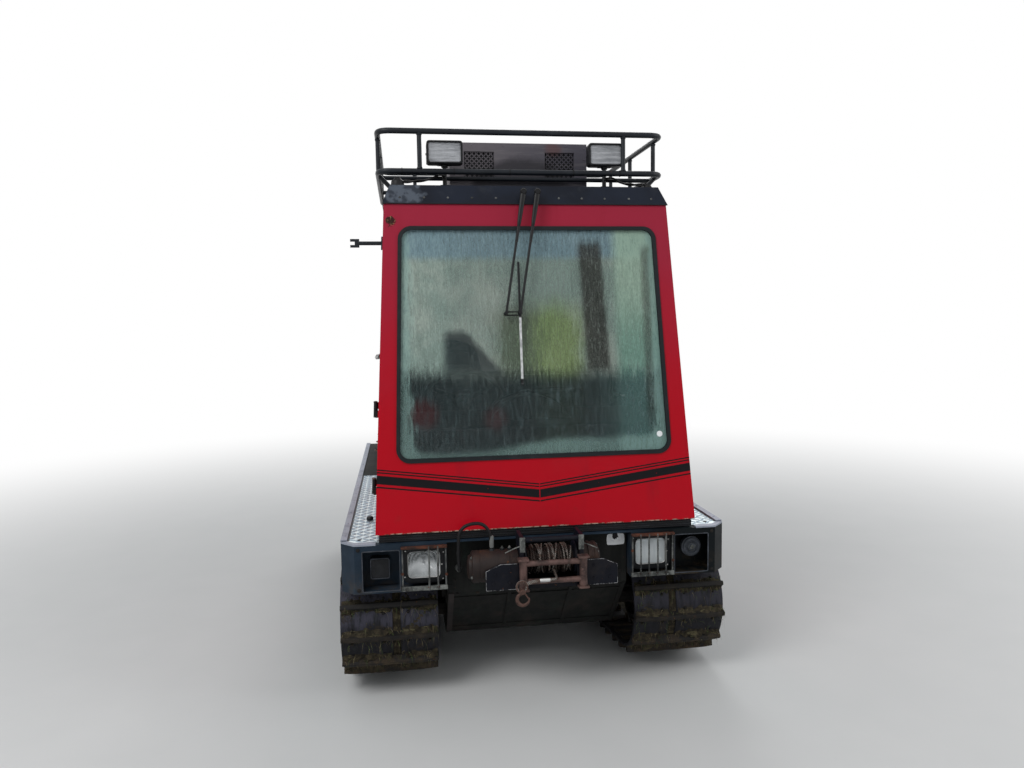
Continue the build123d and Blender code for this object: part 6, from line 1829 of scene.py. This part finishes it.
def build_bumper_trim():
    """Bolt heads and lamp-bay flanges on the nose box, a boxed fitting in the left bay, and a blank worn
    label plate.
    """
    parts = Marked()
    bolted = ((0.735, 0.672), (0.735, 0.508), (0.566, 0.5075), (0.4, 0.674))
    spots = [(s * x, -1.2402, z) for s in (-1, 1) for x, z in bolted]
    parts.add(0, *bolts(spots, radius=0.0055, height=0.0045))
    for side in (-1, 1):
        bay = pad_outline(side * RECESS_X, RECESS_Z, 0.15, 0.166, 0.006, 3)
        parts.add(3, rim(drawn_in(bay, 0.003), -1.2415, -1.2385, 0.004, 0.0006))
    label = rounded(mm(296, 618, 330, 616.5, 371, 618.5, 373, 640, 370, 664, 340, 666.5, 298, 664,
                       294.5, 641), 0.006, 3, True)
    parts.add(2, prism(label, "y", -1.1795, -1.1783, 0.0003))
    device = pad_outline(-0.652, 0.578, 0.078, 0.086, 0.008, 4)
    parts.add(1, prism(device, "y", -1.19, -1.1485, 0.003))
    parts.add(3, rim(pad_outline(-0.652, 0.578, 0.07, 0.078, 0.006, 4), -1.1935, -1.189, 0.004, 0.0008))
    parts.add(1, prism(pad_outline(-0.652, 0.578, 0.066, 0.074, 0.006, 4), "y", -1.1915, -1.1895, 0.0005))
    piece("bumper_trim", parts, ["gear_paint", "lamp_black", "torn_label", "horn_paint"])


def build_hull_trim():
    """Belly plate ribs, bolts along its fold, side skid strips, and weld beads beside the nose."""
    base = np.array([0, -1.178, 0.458])
    toe = unit((0, -0.94, 0.19) - base)
    out = np.array([0, toe[2], -toe[1]])
    parts = Marked()
    flat = mm(-6, -2, 6, -2, 6, 4, -6, 4)
    for x in (-0.365, -0.12, 0.14, 0.365):
        line = [base + X * x + toe * 0.012, base + X * x + toe * 0.34]
        parts.add(2 if x < -0.3 else 0, sweep(line, flat * ((1.9, 1.2) if x < -0.3 else (1.2, 1.2)), up=out))
    for d in (0.05, 0.31):
        parts.add(0, sweep([base - X * 0.36 + toe * d, base + X * 0.36 + toe * d], flat, up=out))
    heads = [base + X * x + toe * 0.018 for x in np.linspace(-0.34, 0.34, 9)]
    parts.add(1, *bolts(heads, out, 0.007, 0.005))
    face = [(x, -1.1782, 0.505) for x in np.linspace(-0.35, 0.35, 8)]
    parts.add(1, *bolts(face, -Y, 0.006, 0.004))
    post = rounded(mm(-379, -1179.5, -350, -1179.5, -350, -1172, -379, -1172), 0.002, 2, True)
    parts.add(0, prism(post, "z", 0.462, 0.49, 0.001))
    for x in (-0.3, 0.3):
        parts.add(0, box(x - 0.02, x + 0.02, -0.9, 1.1, 0.1815, 0.1905, 0.002))
    piece("hull_trim", parts, ["hull_paint", "gear_paint", "post_brown"])


def build_bed_trim():
    """Pressed floor ribs, capped side rails, lashing rings and the sill under the tailgate."""
    parts = Marked()
    rib = rounded(mm(-20, 0, -13, 4.5, 13, 4.5, 20, 0, 13, -0.5, -13, -0.5), 0.003, 2, True)
    for x in np.linspace(-0.56, 0.56, 9):
        parts.add(0, prism(rib + (x, 0.698), "y", 0.205, 1.28, 0.0))
    for side in (-1, 1):
        for y in (0.3, 0.62, 0.94, 1.24):
            angle = np.linspace(0, math.pi, 12)
            staple = circle((side * 0.6925, y, 0.815), 1.0, angle, Y * 0.022, X * side * 0.02)
            parts.add(1, sweep(staple, ring(0.004, 8)),
                      *bolts([(side * 0.6922, y - 0.036, 0.815), (side * 0.6922, y + 0.036, 0.815)],
                             (side, 0, 0), 0.005, 0.004))
        a, b = sorted((side * 0.664, side * 0.6935))
        parts.add(0, box(a, b, 0.162, 1.29, 0.8585, 0.864, 0.0018))
    parts.add(0, box(-0.69, 0.69, 0.1615, 0.19, 0.8585, 0.864, 0.0018),
              box(-0.684, 0.684, 1.288, 1.2934, 0.6978, 0.725, 0.0015))
    piece("bed_trim", parts, ["bed_paint", "rust"])
    gate = Marked()
    for x in (-0.46, -0.155, 0.155, 0.46):
        panel = pad_outline(x, 0.79, 0.27, 0.09, 0.014, 4)
        gate.add(0, rim(drawn_in(panel, 0.004), 1.3125, 1.3178, 0.006, 0.0015))
    for side in (-1, 1):
        gate.add(1, box(side * 0.655 - 0.018, side * 0.655 + 0.018, 1.3135, 1.3185, 0.815, 0.85, 0.0015),
                 tube([(side * 0.655, 1.3165, 0.812), (side * 0.655, 1.3165, 0.78)], 0.0032, X, sides=8))
    piece("tailgate_trim", gate, ["bed_paint", "rust"], body="tailgate")


def build_tail_lamps():
    """Round tail lamps: black bezels and red glass pressed in rings."""
    parts = Marked()
    for x in (-0.62, 0.62):
        bezel = mm(0, 0, 26.8, 0, 26.8, 20, 25, 22, 22.5, 22, 22.5, 12, 0, 12)
        parts.add(0, lathe(bezel, (x, 1.291, 0.662), Y, 36))
        r = np.linspace(0.0222, 0.0, 16)
        wave = 0.019 + 0.0045 * (1 - (r / 0.0222) ** 2) + 0.0005 * np.cos(r * 1700)
        glass = np.concatenate([[(0.0, 0.0125), (0.0222, 0.0125)], np.stack([r, wave], 1)])
        parts.add(1, lathe(glass, (x, 1.291, 0.662), Y, 36))
    piece("tail_lamps_round", parts, ["lamp_black", "tail_lens"], ["tail_lamps"])


def build_sprocket_trim():
    """Ring of bolts and a domed cap on each drive wheel."""
    parts = Marked()
    parts += bolts(circle((0.7002, *PULLEYS[0, :2]), 0.096, np.arange(8) * TURN / 8), X, 0.008, 0.007)
    parts.append(lathe(mm(46, 0, 44, 6, 30, 11, 0, 12.5), (0.7238, *PULLEYS[0, :2]), X, 30))
    piece("sprocket_bolts", parts + [flipped(s) for s in parts], "gear_paint")


build_door_trim()
build_cab_trim()
build_tow_pin()
build_decks()
build_bumper_trim()
build_hull_trim()
build_bed_trim()
build_tail_lamps()
build_sprocket_trim()
